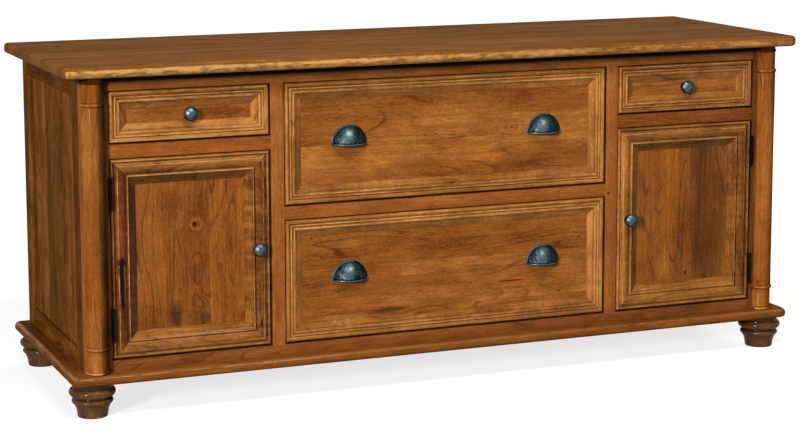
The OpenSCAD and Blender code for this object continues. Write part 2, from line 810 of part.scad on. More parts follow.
// A drawer box of two sides, a front, a back and a bottom in grooves
module drawer_box(x, z0, w, h) {
  y0 = face_back;
  y1 = face_back + box_len;
  x_out = w / 2;
  x_in = w / 2 - box_t;
  zb = z0 + box_bottom_up;
  translate([x, 0, 0]) {
    difference() {
      union() {
        for (side = [left, right]) on_side(side) block([-x_out, y0, z0], [-x_in, y1, z0 + h]);
        block([glue_line - x_in, y0, z0], [x_in - glue_line, y0 + box_t, z0 + h]);
      }
      block([-x_in - box_groove - glue_line, y0 + box_t - box_groove - glue_line, zb - glue_line],
        [x_in + box_groove + glue_line, y1 + 1, zb + box_bottom_t + glue_line]);
    }
    block([glue_line - x_in, y1 - box_t, zb + box_bottom_t + glue_line], [x_in - glue_line, y1, z0 + h]);
    block([-x_in - box_groove, y0 + box_t - box_groove, zb], [x_in + box_groove, y1, zb + box_bottom_t]);
  }
}

function file_box_z(which) = file_z(which) + file_low;
function file_box_h(which) = file_h(which) - file_low - file_high;
function file_slide_z(which) = file_box_z(which) + file_box_h(which) / 2;

module small_drawer_box(side) color(plywood) on_side(side) difference() {
  drawer_box(-side_mid, small_box_z, side_open_w - 2 * slide_w, small_box_h);
  screw_hole(-side_mid, small_mid);
}

module file_box(which) color(plywood)
  drawer_box(0, file_box_z(which), center_open_w - 2 * slide_w, file_box_h(which));

module file_rails(which) color(zinc) {
  x_in = center_half - slide_w - box_t;
  z1 = file_box_z(which) + file_box_h(which);
  for (y = [rail_y, rail_y + rail_span])
    block([-x_in, y, z1 - rail_h], [x_in, y + rail_t, z1]);
}

// Section of a channel from web to flange tips: a0 is the web's outer face, a1 the tips
module channel_section(a0, a1, half_h) {
  s = slide_sheet * sign(a1 - a0);
  polygon([
    [a0, -half_h], [a1, -half_h], [a1, slide_sheet - half_h], [a0 + s, slide_sheet - half_h],
    [a0 + s, half_h - slide_sheet], [a1, half_h - slide_sheet], [a1, half_h], [a0, half_h]
  ]);
}

// A pair of channels on both sides of an opening; distances are measured inwards from its edges
module channel_pair(x, half_w, z, len, a0, a1, half_h) {
  for (side = [left, right])
    translate([x, slide_y, z]) on_side(side) translate([-half_w, len, 0])
      rotate([90, 0, 0]) linear_extrude(len) channel_section(a0, a1, half_h);
}

module cabinet_slides() color(zinc) {
  for (side = [left, right])
    channel_pair(side * side_mid, side_open_w / 2, small_slide_z, small_slide_len,
      0, slide_reach, cabinet_half_h);
  for (which = [lower, upper])
    channel_pair(0, center_half, file_slide_z(which), file_slide_len, 0, slide_reach, cabinet_half_h);
}

module small_drawer_slides(side) color(zinc)
  channel_pair(side * side_mid, side_open_w / 2, small_slide_z, small_slide_len,
    slide_w, second_a0, second_half_h);

module file_runners(which) color(zinc)
  channel_pair(0, center_half, file_slide_z(which), file_slide_len, second_a0, second_a1, second_half_h);

module file_slides(which) color(zinc)
  channel_pair(0, center_half, file_slide_z(which), file_slide_len, slide_w, third_a1, third_half_h);

worktop();
base_board();
feet();
column(left);  // left_column
column(right);  // right_column
corner_stiles();
mullions();
top_rail();
bottom_rail();
door_head_rails();
center_rail();
side_frame(left);  // left_side_frame
side_panel(left);  // left_side_panel
side_frame(right);  // right_side_frame
side_panel(right);  // right_side_panel
partition(left);  // left_partition
partition(right);  // right_partition
back_panel();
case_floor();
drawer_decks();
adjustable_shelves();
shelf_pins();
top_stretchers();
slide_blocks();
hinge_frame_leaves();
hinge_pins();
magnetic_catches();
cabinet_slides();
door_frame(left);  // left_door_frame
door_panel(left);  // left_door_panel
door_knob(left);  // left_door_knob
door_fittings(left);  // left_door_fittings
door_frame(right);  // right_door_frame
door_panel(right);  // right_door_panel
door_knob(right);  // right_door_knob
door_fittings(right);  // right_door_fittings
small_drawer_frame(left);  // left_drawer_frame
small_drawer_panel(left);  // left_drawer_panel
drawer_knob(left);  // left_drawer_knob
small_drawer_box(left);  // left_drawer_box
small_drawer_slides(left);  // left_drawer_slides
small_drawer_frame(right);  // right_drawer_frame
small_drawer_panel(right);  // right_drawer_panel
drawer_knob(right);  // right_drawer_knob
small_drawer_box(right);  // right_drawer_box
small_drawer_slides(right);  // right_drawer_slides
file_frame(upper);  // upper_file_frame
file_panel(upper);  // upper_file_panel
file_pulls(upper);  // upper_file_pulls
file_box(upper);  // upper_file_box
file_rails(upper);  // upper_file_rails
file_slides(upper);  // upper_file_slides
file_runners(upper);  // upper_file_runners
file_frame(lower);  // lower_file_frame
file_panel(lower);  // lower_file_panel
file_pulls(lower);  // lower_file_pulls
file_box(lower);  // lower_file_box
file_rails(lower);  // lower_file_rails
file_slides(lower);  // lower_file_slides
file_runners(lower);  // lower_file_runners
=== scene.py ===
"""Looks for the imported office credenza: its wood, its metal and the studio that shows it."""

import logging
import math
from collections.abc import Callable, Iterator, Sequence
from contextlib import contextmanager
from dataclasses import dataclass, field
from enum import Enum
from functools import cache

import bmesh
import bpy
import numpy as np
from bpy.types import Attribute, Material, Node, NodeSocket, NodeTree, Object
from mathutils import Matrix, Vector


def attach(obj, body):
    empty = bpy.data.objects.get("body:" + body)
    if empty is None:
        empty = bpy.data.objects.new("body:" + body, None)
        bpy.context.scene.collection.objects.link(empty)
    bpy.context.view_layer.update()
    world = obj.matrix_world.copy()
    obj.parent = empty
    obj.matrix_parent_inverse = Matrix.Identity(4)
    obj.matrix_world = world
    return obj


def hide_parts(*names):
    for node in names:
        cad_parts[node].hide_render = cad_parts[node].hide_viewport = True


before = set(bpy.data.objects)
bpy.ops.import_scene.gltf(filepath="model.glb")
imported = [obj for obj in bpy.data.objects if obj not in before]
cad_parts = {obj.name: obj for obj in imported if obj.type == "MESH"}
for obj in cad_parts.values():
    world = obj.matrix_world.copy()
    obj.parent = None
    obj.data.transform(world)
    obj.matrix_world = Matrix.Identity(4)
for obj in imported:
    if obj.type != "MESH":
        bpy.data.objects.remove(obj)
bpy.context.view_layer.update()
LOG = logging.getLogger("credenza")

Point = tuple[float, float, float]
Flat = tuple[float, float]
Test = Callable[[Vector], bool]
Pair = Callable[[Vector, Vector], bool]
MM = 0.001
HAIR = 1e-6
CREASE = 0.08
# Darkening of a panel's band next to its frame: partly glazing, partly painted shade.
RIM_GLAZE_AND_SHADE = 0.16


class Grain(Enum):
    """The way the grain of a board runs: rows are along, across and through the board."""

    ACROSS_ROOM = ((1, 0, 0), (0, 0, 1), (0, 1, 0))
    FRONT_TO_BACK = ((0, 1, 0), (0, 0, 1), (1, 0, 0))
    UPRIGHT = ((0, 0, 1), (1, 0, 0), (0, 1, 0))
    UPRIGHT_SIDE = ((0, 0, 1), (0, 1, 0), (1, 0, 0))
    FLAT = ((1, 0, 0), (0, 1, 0), (0, 0, 1))


class Side(Enum):
    """The two ends of the credenza, as signs of X."""

    LEFT = -1
    RIGHT = 1

    @property
    def label(self) -> str:
        """The word that the CAD nodes use."""
        return self.name.lower()


@dataclass(frozen=True)
class Case:
    """Sizes that the sub-assemblies share, in metres, in the row frame."""

    half: float = 0.8755
    inner: float = 0.8555
    face: float = -0.266
    face_back: float = -0.246
    back: float = 0.305
    plinth_z: float = 0.078
    case_z: float = 0.100
    top_z: float = 0.760
    open_top: float = 0.727
    open_bottom: float = 0.126
    small_bottom: float = 0.610
    door_top: float = 0.577
    upper_bottom: float = 0.445
    lower_top: float = 0.4125
    open_out: float = 0.813
    open_in: float = 0.4415
    centre: float = 0.4075
    gap: float = 0.00225
    hinge_zs: Flat = (0.501, 0.205)
    hinge_half: float = 0.035


CASE = Case()


# Bench work: Blender's own tools, with the selection made by place


def clear() -> None:
    """Leaves edit mode and deselects every object."""
    if bpy.context.object and bpy.context.object.mode != "OBJECT":
        bpy.ops.object.mode_set(mode="OBJECT")
    bpy.ops.object.select_all(action="DESELECT")


def focus(piece: Object) -> None:
    """Makes one object the selected and active one."""
    clear()
    piece.select_set(True)
    bpy.context.view_layer.objects.active = piece


@contextmanager
def editing(piece: Object) -> Iterator[None]:
    """Edit mode on one object, with all of it selected."""
    focus(piece)
    bpy.ops.object.mode_set(mode="EDIT")
    bpy.ops.mesh.select_mode(type="VERT")
    bpy.ops.mesh.select_all(action="SELECT")
    yield
    bpy.ops.object.mode_set(mode="OBJECT")


def settle(piece: Object) -> Object:
    """Applies an object's place to its mesh, so that it sits at the origin."""
    focus(piece)
    bpy.ops.object.transform_apply(location=True, rotation=True, scale=True)
    return piece


class Kind(Enum):
    """What is picked in edit mode."""

    EDGE = "edges"
    FACE = "faces"


def on_plane(a: Vector, b: Vector, axis: int, place: float) -> bool:
    """Whether both ends of an edge lie on a plane across an axis."""
    return abs(a[axis] - place) < HAIR and abs(b[axis] - place) < HAIR


def pick(piece: Object, kind: Kind, test: Pair) -> int:
    """Selects edges or faces by their place, in edit mode.

    Args:
        piece: the object in edit mode.
        kind: what is selected.
        test: takes the places of an edge's two ends, or a face's middle and normal.

    Returns:
        How many are selected.
    """
    bpy.ops.mesh.select_mode(type=kind.name)
    bpy.ops.mesh.select_all(action="DESELECT")
    mesh = bmesh.from_edit_mesh(piece.data)
    if kind is Kind.EDGE:
        found = [e for e in mesh.edges if test(e.verts[0].co, e.verts[1].co)]
    else:
        mesh.normal_update()
        found = [f for f in mesh.faces if test(f.calc_center_median(), f.normal)]
    for part in found:
        part.select_set(True)
    bmesh.update_edit_mesh(piece.data)
    return len(found)


def block(low: Point, high: Point) -> Object:
    """A rectangular blank between two opposite corners.

    Args:
        low: the corner with the lowest coordinates.
        high: the corner with the highest coordinates.

    Returns:
        The new object, at the origin.
    """
    clear()
    middle = [(a + b) / 2 for a, b in zip(low, high)]
    size = [b - a for a, b in zip(low, high)]
    bpy.ops.mesh.primitive_cube_add(size=1, location=middle, scale=size)
    return settle(bpy.context.object)


def ease(piece: Object, radius: float, test: Pair, steps: int = 4) -> None:
    """Rounds over the edges that pass a test.

    Args:
        piece: the object to work on.
        radius: the radius of the rounding.
        test: takes the places of both ends of an edge.
        steps: the segments of the rounding.
    """
    with editing(piece):
        if pick(piece, Kind.EDGE, test):
            bpy.ops.mesh.bevel(
                offset=radius, segments=steps, profile=0.5, affect="EDGES", clamp_overlap=True)


def eased_member(
    low: Point,
    high: Point,
    face: tuple[int, float],
    edges: tuple[int, Sequence[float]],
    radius: float,
    steps: int,
) -> Object:
    """A frame's member, eased where its face meets some of its edges.

    Args:
        low: its lowest corner.
        high: its highest corner.
        face: the axis across its face, and the face's place there.
        edges: the axis across the eased edges, and their places there.
        radius: the radius of the easing.
        steps: the segments of the easing.

    Returns:
        The new object.
    """
    piece = block(low, high)
    axis, places = edges

    def eased(a: Vector, b: Vector) -> bool:
        """Whether an edge lies on the face and on one of the places."""
        return on_plane(a, b, *face) and any(on_plane(a, b, axis, m) for m in places)

    ease(piece, radius, eased, steps)
    return piece


def round_corners(piece: Object, half_w: float, front: float, radius: float) -> None:
    """Rounds a slab's two front corners, seen from above."""

    def corner(a: Vector, b: Vector) -> bool:
        """Whether an edge stands at a front corner."""
        return on_plane(a, b, 1, front) and any(on_plane(a, b, 0, x) for x in (-half_w, half_w))

    ease(piece, radius, corner, 10)


def draw(points: Sequence[Vector], filled: bool) -> Object:
    """Draws a line point by point, by extruding one vertex.

    Args:
        points: the points of the line.
        filled: whether the line is closed and filled to a face.

    Returns:
        The new object, at the origin.
    """
    clear()
    bpy.ops.mesh.primitive_plane_add(size=MM, location=points[0])
    piece = settle(bpy.context.object)
    with editing(piece):
        bpy.ops.mesh.merge(type="CENTER")
        for a, b in zip(points, points[1:]):
            bpy.ops.mesh.extrude_region_move(TRANSFORM_OT_translate={"value": b - a})
        bpy.ops.mesh.select_all(action="SELECT")
        if filled:
            bpy.ops.mesh.edge_face_add()
    return piece


def outward(piece: Object) -> None:
    """Merges doubled vertices and turns all faces outwards."""
    with editing(piece):
        bpy.ops.mesh.remove_doubles(threshold=HAIR)
        bpy.ops.mesh.normals_make_consistent(inside=False)


def copy(piece: Object, name: str) -> Object:
    """A copy of an object with a mesh of its own."""
    focus(piece)
    bpy.ops.object.duplicate(linked=False)
    made = bpy.context.object
    made.name = name
    return made


def shift(piece: Object, by: Point) -> Object:
    """Moves a piece's mesh, and leaves its object at the origin."""
    with editing(piece):
        bpy.ops.transform.translate(value=by)
    return piece


def turn(piece: Object, quarter_turns: int, axis: str = "Y") -> Object:
    """Turns a piece's mesh about the origin by quarter turns."""
    angle = quarter_turns * math.pi / 2
    with editing(piece):
        bpy.ops.transform.rotate(value=angle, orient_axis=axis, center_override=(0, 0, 0))
    return piece


def flip(piece: Object) -> Object:
    """Moves a piece to its mirror place over the middle, with its faces outwards."""
    with editing(piece):
        bpy.ops.transform.resize(value=(-1, 1, 1), center_override=(0, 0, 0))
        bpy.ops.mesh.flip_normals()
    return piece


def joined(pieces: Sequence[Object], name: str) -> Object:
    """Several objects made one."""
    clear()
    for piece in pieces:
        piece.select_set(True)
    bpy.context.view_layer.objects.active = pieces[0]
    if len(pieces) > 1:
        bpy.ops.object.join()
    pieces[0].name = name
    return pieces[0]


def combine(piece: Object, tool: Object, operation: str) -> None:
    """Cuts a tool out of a piece or unites the two, and removes the tool.

    Args:
        piece: the object that is kept.
        tool: the closed mesh that cuts or is added.
        operation: DIFFERENCE or UNION.
    """
    focus(piece)
    bpy.ops.object.modifier_add(type="BOOLEAN")
    modifier = piece.modifiers[-1]
    modifier.operation = operation
    modifier.solver = "EXACT"
    modifier.object = tool
    bpy.ops.object.modifier_apply(modifier=modifier.name)
    bpy.data.objects.remove(tool)


def arc(centre: Flat, radius: float, start: float, end: float, steps: int) -> list[Flat]:
    """Points on an arc, both ends with it.

    Args:
        centre: the centre of the arc.
        radius: its radius.
        start: the angle of the first point, in degrees.
        end: the angle of the last point, in degrees.
        steps: how many straight pieces it has.

    Returns:
        The points.
    """
    angles = [math.radians(start + (end - start) * i / steps) for i in range(steps + 1)]
    return [(centre[0] + radius * math.cos(a), centre[1] + radius * math.sin(a)) for a in angles]


def lathe(outline: Sequence[Flat], centre: Point, steps: int, degrees: float = 360) -> Object:
    """Turns an outline about an upright axis.

    Args:
        outline: points as (radius, height over the centre), in millimetres, that start and end on the axis.
        centre: the foot of the axis.
        steps: the facets of the turning.
        degrees: the part of a full turn; half a turn is on the -Y side and gets a flat back.

    Returns:
        The new object.
    """
    points = [Vector((centre[0] - r * MM, centre[1], centre[2] + z * MM)) for r, z in outline]
    piece = draw(points, False)
    with editing(piece):
        bpy.ops.mesh.spin(steps=steps, angle=math.radians(degrees), center=centre, axis=(0, 0, 1))
        bpy.ops.mesh.select_all(action="SELECT")
        bpy.ops.mesh.remove_doubles(threshold=HAIR)
    front = max((abs(v.co.y - centre[1]), v.co.y - centre[1]) for v in piece.data.vertices)[1]
    if degrees < 360:
        with editing(piece):
            if front > 0:
                bpy.ops.transform.resize(value=(1, -1, 1), center_override=centre)
            pick(piece, Kind.EDGE, lambda a, b: on_plane(a, b, 1, centre[1]))
            bpy.ops.mesh.edge_face_add()
    outward(piece)
    return piece


# What a board knows of its own wood, kept on the mesh for the materials


SEED_ALONG = 3.7
SEED_THROUGH = 1.9


@dataclass(frozen=True)
class Stock:
    """One board's wood: which way its grain runs and how its figure differs from its neighbours'."""

    grain: Grain
    seed: float
    tone: float = 0.0
    red: float = 0.0
    curl: float = 0.0


def corners(piece: Object, name: str) -> tuple[Attribute, np.ndarray]:
    """A vector attribute on the face corners and its values so far.

    Args:
        piece: the object that has or gets the attribute.
        name: the attribute's name.

    Returns:
        The attribute, and its values as rows.
    """
    mesh = piece.data
    made = mesh.attributes.get(name) or mesh.attributes.new(name, "FLOAT_VECTOR", "CORNER")
    values = np.zeros(len(mesh.loops) * 3, np.float32)
    made.data.foreach_get("vector", values)
    return made, values.reshape(-1, 3)


def saw(piece: Object, stock: Stock, where: Test | None = None) -> Object:
    """Writes a board's grain to its mesh.

    Args:
        piece: the board.
        stock: its wood.
        where: a test of a face's middle, for a piece of more than one board.

    Returns:
        The same piece.
    """
    mesh = piece.data
    rows = np.array(stock.grain.value, float)
    places = np.zeros(len(mesh.vertices) * 3, np.float32)
    mesh.vertices.foreach_get("co", places)
    local = places.reshape(-1, 3) @ rows.T
    local[:, 0] += SEED_ALONG * stock.seed
    local[:, 2] += SEED_THROUGH * stock.seed
    grain, grain_values = corners(piece, "grain")
    look, look_values = corners(piece, "board")
    for face in mesh.polygons:
        if where is None or where(face.center):
            for loop in face.loop_indices:
                grain_values[loop] = local[mesh.loops[loop].vertex_index]
                look_values[loop] = (stock.tone, stock.red, stock.curl)
    grain.data.foreach_set("vector", grain_values.ravel())
    look.data.foreach_set("vector", look_values.ravel())
    return piece


def glaze(piece: Object, amount: Callable[[Vector], float]) -> Object:
    """Writes the darkening of a place, from 0 to 1, and the lightening of a crest, below 0; on some pieces
    they are glazing and abrasion, on others painted shade and painted highlight, on many both.

    Args:
        piece: the object.
        amount: gives the value at a vertex's place.

    Returns:
        The same piece.
    """
    made = piece.data.attributes.get("crevice") or piece.data.attributes.new("crevice", "FLOAT", "POINT")
    made.data.foreach_set("value", np.array([amount(v.co) for v in piece.data.vertices], np.float32))
    return piece


# Materials: a small helper, the shared node groups and the finishes


def paint(code: str) -> tuple[float, float, float, float]:
    """A colour in the renderer's own linear values, from its six-digit code."""
    parts = [int(code[i : i + 2], 16) / 255 for i in (0, 2, 4)]
    linear = [c / 12.92 if c <= 0.04045 else ((c + 0.055) / 1.055) ** 2.4 for c in parts]
    return (*linear, 1.0)


class Nodes:
    """Adds nodes to one tree and links them."""

    def __init__(self, tree: NodeTree) -> None:
        """Starts on an empty tree."""
        self.tree = tree

    def add(self, kind: str, inputs: dict | None = None, **settings: object) -> Node:
        """Adds a node.

        Args:
            kind: the node's type, without its prefix.
            inputs: values or sockets for its inputs, by name or number.
            **settings: the node's own settings.

        Returns:
            The new node.
        """
        node = self.tree.nodes.new("ShaderNode" + kind)
        for name, value in settings.items():
            setattr(node, name, value)
        self.feed(node, inputs or {})
        return node

    def feed(self, node: Node, inputs: dict) -> None:
        """Gives a node's inputs, by name or number, their values or links."""
        for name, value in inputs.items():
            if isinstance(value, NodeSocket):
                self.tree.links.new(value, node.inputs[name])
            else:
                node.inputs[name].default_value = value

    def shared(self, name: str, inputs: dict) -> Node:
        """Places one of the shared node groups."""
        return self.add("Group", inputs, node_tree=group(name))

    def math(self, operation: str, *values: object) -> NodeSocket:
        """A Math node's output."""
        return self.add("Math", dict(enumerate(values)), operation=operation).outputs[0]

    def vector(self, operation: str, *values: object) -> NodeSocket:
        """A Vector Math node's output, a number where the operation gives one."""
        node = self.add("VectorMath", dict(enumerate(values)), operation=operation)
        return node.outputs["Value" if operation in ("LENGTH", "DOT_PRODUCT") else "Vector"]

    def noise(self, place: object, scale: Point, detail: float = 2, rough: float = 0.5) -> Node:
        """A noise stretched by a scale along each axis."""
        spread = self.vector("MULTIPLY", place, scale)
        return self.add("TexNoise", {"Vector": spread, "Scale": 1.0, "Detail": detail, "Roughness": rough})

    def span(
        self, value: object, low: object, high: float, to_low: float = 0, to_high: float = 1
    ) -> NodeSocket:
        """A value taken smoothly from one range to another."""
        inputs = {"Value": value, "From Min": low, "From Max": high, "To Min": to_low, "To Max": to_high}
        return self.add("MapRange", inputs, interpolation_type="SMOOTHSTEP").outputs[0]

    def ramp(self, value: object, low: float, high: float) -> NodeSocket:
        """A value taken straight from one range to nought and one."""
        return self.add("MapRange", {"Value": value, "From Min": low, "From Max": high}).outputs[0]

    def mix(self, share: object, a: object, b: object, blend: str = "MIX") -> NodeSocket:
        """Two colours mixed."""
        node = self.add("Mix", {0: share, 6: a, 7: b}, data_type="RGBA", blend_type=blend)
        return node.outputs[2]

    def sway(self, noise: object, weight: object, base: object) -> NodeSocket:
        """A base value, moved by how far a noise lies from its middle."""
        return self.math("MULTIPLY_ADD", self.math("SUBTRACT", noise, 0.5), weight, base)

    def seen(self) -> NodeSocket:
        """One for the rays of the camera, of gloss and of glass, and nought for light."""
        path = self.add("LightPath").outputs
        direct = self.math("MAXIMUM", path["Is Camera Ray"], path["Is Glossy Ray"])
        return self.math("MAXIMUM", direct, path["Is Transmission Ray"])


def new_group(
    name: str, inputs: Sequence[tuple[str, str]], outputs: Sequence[tuple[str, str]]
) -> tuple[Nodes, dict, Node]:
    """Starts a shader node group.

    Args:
        name: its name.
        inputs: the name and kind of each input.
        outputs: the name and kind of each output.

    Returns:
        Its nodes, its input sockets by name and its output node.
    """
    tree = bpy.data.node_groups.new(name, "ShaderNodeTree")
    for way, sockets in (("INPUT", inputs), ("OUTPUT", outputs)):
        for label, kind in sockets:
            tree.interface.new_socket(name=label, in_out=way, socket_type="NodeSocket" + kind)
    sheet = Nodes(tree)
    start = tree.nodes.new("NodeGroupInput")
    end = tree.nodes.new("NodeGroupOutput")
    return sheet, {s.name: s for s in start.outputs if s.name}, end


def finish_group(sheet: Nodes, end: Node, results: dict) -> NodeTree:
    """Joins a group's results to its output node."""
    for name, socket in results.items():
        sheet.tree.links.new(socket, end.inputs[name])
    return sheet.tree


def wood_group() -> NodeTree:
    """The figure and pores of a stained board, with darkening in its hollows that is partly glazing and
    partly painted shade, and lighter crests that are partly abrasion and partly painted highlight.
    """
    sheet, given, end = new_group(
        "wood",
        [
            ("Vector", "Vector"), ("Field", "Float"), ("Heart", "Float"), ("Board", "Vector"),
            ("Crevice", "Float"), ("Light", "Color"), ("Mid", "Color"), ("Dark", "Color"),
            ("Glaze", "Color"), ("Bare", "Color"), ("Figure", "Float"), ("Pores", "Float"),
            ("Gloss", "Float"),
        ],
        [("Color", "Color"), ("Roughness", "Float"), ("Height", "Float"), ("Worn", "Float")],
    )
    place = given["Vector"]
    look = sheet.add("SeparateXYZ", {0: given["Board"]})
    tone, red, curl = look.outputs
    drift = sheet.vector("SUBTRACT", sheet.noise(place, (1.2, 5, 5), 2).outputs["Color"], (0.5, 0.5, 0.5))
    wavy = sheet.vector("ADD", place, sheet.vector("MULTIPLY", drift, (0.0, 0.012, 0.012)))
    slow = sheet.noise(wavy, (1.7, 11, 11), 1.5, 0.45).outputs[0]
    turns = sheet.math("MULTIPLY", sheet.math("ADD", slow, given["Field"]), 15.0)
    part = sheet.math("FRACT", turns)
    late = sheet.math("SUBTRACT", sheet.span(part, 0.72, 0.94), sheet.span(part, 0.94, 1.0))
    shown = sheet.span(sheet.noise(place, (3.5, 9, 9), 2).outputs[0], 0.44, 0.62)
    lines = sheet.math("MULTIPLY", late, sheet.math("MULTIPLY_ADD", shown, 0.85, 0.15))
    pieces = sheet.noise(place, (9, 18, 18), 3, 0.55)
    blotch = pieces.outputs[0]
    hue = sheet.add("SeparateXYZ", {0: pieces.outputs["Color"]}).outputs[2]
    streak = sheet.noise(wavy, (5, 120, 120), 4, 0.6).outputs[0]
    ripple = sheet.noise(place, (75, 12, 12), 2).outputs[0]
    pores = sheet.noise(wavy, (60, 1500, 1500), 2).outputs[0]
    figure = sheet.math("MULTIPLY", lines, 0.3)
    for noise, weight in (
        (sheet.noise(place, (110, 340, 340), 2, 0.6).outputs[0], 0.75),
        (sheet.noise(wavy, (26, 240, 240), 3, 0.6).outputs[0], 0.6),
        (streak, 0.6),
        (blotch, 0.85),
        (sheet.noise(wavy, (1.5, 14, 14), 1.5).outputs[0], 0.9),
    ):
        figure = sheet.sway(noise, weight, figure)
    amount = sheet.math("MULTIPLY_ADD", figure, given["Figure"], 0.42)
    curly = sheet.math("MULTIPLY", sheet.math("SUBTRACT", ripple, 0.5), curl)
    amount = sheet.math("MULTIPLY_ADD", curly, 1.6, amount)
    amount = sheet.math("ADD", amount, tone)

    colour = sheet.mix(sheet.ramp(amount, 0.0, 0.45), given["Light"], given["Mid"])
    colour = sheet.mix(sheet.ramp(amount, 0.45, 1.0), colour, given["Dark"])
    warm = sheet.math("MULTIPLY_ADD", sheet.span(hue, 0.42, 0.68), 0.35, sheet.math("MAXIMUM", red, 0.0))
    cool = sheet.math("MAXIMUM", sheet.math("MULTIPLY", red, -1.0), 0.0)
    colour = sheet.mix(warm, colour, (1.08, 0.76, 0.62, 1), "MULTIPLY")
    colour = sheet.mix(cool, colour, (0.94, 1.04, 1.0, 1), "MULTIPLY")
    specks = sheet.math("MULTIPLY", sheet.span(pores, 0.52, 0.72), given["Pores"])
    colour = sheet.mix(specks, colour, (0.55, 0.5, 0.45, 1), "MULTIPLY")
    colour = sheet.mix(given["Heart"], colour, given["Glaze"])
    # Darkening from the crevice value: glazing in hollows, and painted shade where shade falls.
    ragged = sheet.sway(blotch, 0.5, given["Crevice"])
    dirt_and_shade = sheet.math("MULTIPLY", sheet.span(ragged, 0.05, 1.05), 0.95)
    colour = sheet.mix(dirt_and_shade, colour, given["Glaze"])
    mottle = sheet.noise(place, (45, 150, 150), 3, 0.65).outputs[0]
    # Lightening from negative crevice values: abrasion on crests, and painted highlight on edges that face
    # the light.
    wear = sheet.math("MULTIPLY", given["Crevice"], sheet.math("MULTIPLY_ADD", mottle, 3.0, -2.5))
    worn = sheet.math("MULTIPLY", sheet.span(sheet.sway(streak, -1.2, wear), 0.1, 0.9), 0.68)
    colour = sheet.mix(worn, colour, given["Bare"])

    height = sheet.math("MULTIPLY_ADD", pores, -0.6, sheet.math("MULTIPLY", streak, -0.5))
    gloss = sheet.sway(streak, 0.25, given["Gloss"])
    gloss = sheet.math("MULTIPLY_ADD", dirt_and_shade, 0.2, gloss)
    return finish_group(sheet, end, {"Color": colour, "Roughness": gloss, "Height": height, "Worn": worn})


def knot_group() -> NodeTree:
    """Rings that bend round a knot, and its dark heart."""
    sheet, given, end = new_group(
        "knot",
        [("Vector", "Vector"), ("Centre", "Vector"), ("Reach", "Vector"), ("Lift", "Float"),
         ("Heart", "Float")],
        [("Field", "Float"), ("Heart", "Float")],
    )
    off = sheet.vector("SUBTRACT", given["Vector"], given["Centre"])
    far = sheet.vector("LENGTH", sheet.vector("DIVIDE", off, given["Reach"]))
    bend = sheet.math("EXPONENT", sheet.math("MULTIPLY", sheet.math("MULTIPLY", far, far), -1.0))
    rough = sheet.noise(given["Vector"], (160, 160, 160), 2).outputs[0]
    size = sheet.math("MAXIMUM", given["Heart"], 0.001)
    inside = sheet.math("DIVIDE", sheet.sway(rough, 0.16, far), size)
    has_heart = sheet.math("GREATER_THAN", given["Heart"], 0.001)
    heart = sheet.math("MULTIPLY", sheet.span(inside, 0.7, 1.5, 1, 0), has_heart)
    return finish_group(sheet, end, {"Field": sheet.math("MULTIPLY", bend, given["Lift"]), "Heart": heart})


def mark_group() -> NodeTree:
    """A crack, a streak, a smudge, a growth ring or a painted shadow, with a ragged edge."""
    sheet, given, end = new_group(
        "mark",
        [("Vector", "Vector"), ("Centre", "Vector"), ("Reach", "Vector"), ("Ragged", "Float"),
         ("Soft", "Float"), ("Hollow", "Float"), ("Line", "Float")],
        [("Mask", "Float")],
    )
    off = sheet.vector("SUBTRACT", given["Vector"], given["Centre"])
    away = sheet.vector("LENGTH", sheet.vector("DIVIDE", off, given["Reach"]))
    jitter = sheet.vector("DIVIDE", given["Vector"], given["Reach"])
    rough = sheet.noise(jitter, (1.7, 1.7, 1.7), 4, 0.65).outputs[0]
    far = sheet.sway(rough, given["Ragged"], away)
    far = sheet.math("ABSOLUTE", sheet.math("SUBTRACT", far, given["Hollow"]))
    far = sheet.math("DIVIDE", far, given["Line"])
    inner = sheet.math("SUBTRACT", 1.0, given["Soft"])
    return finish_group(sheet, end, {"Mask": sheet.span(far, inner, 1.0, 1.0, 0.0)})


def boards_group() -> NodeTree:
    """Boards glued edge to edge: each takes its figure from another place, and a fine line parts them."""
    sheet, given, end = new_group(
        "boards",
        [("Vector", "Vector"), ("Width", "Float"), ("Start", "Float"), ("Spread", "Float")],
        [("Vector", "Vector"), ("Tone", "Float"), ("Red", "Float"), ("Line", "Float")],
    )
    across = sheet.add("SeparateXYZ", {0: given["Vector"]}).outputs[1]
    count = sheet.math("DIVIDE", sheet.math("SUBTRACT", across, given["Start"]), given["Width"])
    number = sheet.math("FLOOR", count)
    chance = sheet.add("TexWhiteNoise", {"W": number}, noise_dimensions="1D").outputs["Color"]
    moved = sheet.vector("MULTIPLY_ADD", chance, (9.0, 0.0, 5.0), given["Vector"])
    apart = sheet.add("SeparateXYZ", {0: chance})
    tone = sheet.math("MULTIPLY", sheet.math("SUBTRACT", apart.outputs[0], 0.5), given["Spread"])
    red = sheet.math("MULTIPLY", sheet.math("SUBTRACT", apart.outputs[1], 0.5), given["Spread"])
    part = sheet.math("SUBTRACT", count, number)
    nearest = sheet.math("MINIMUM", part, sheet.math("SUBTRACT", 1.0, part))
    line = sheet.span(sheet.math("MULTIPLY", nearest, given["Width"]), 0.0, 0.0009, 1, 0)
    return finish_group(sheet, end, {"Vector": moved, "Tone": tone, "Red": red, "Line": line})


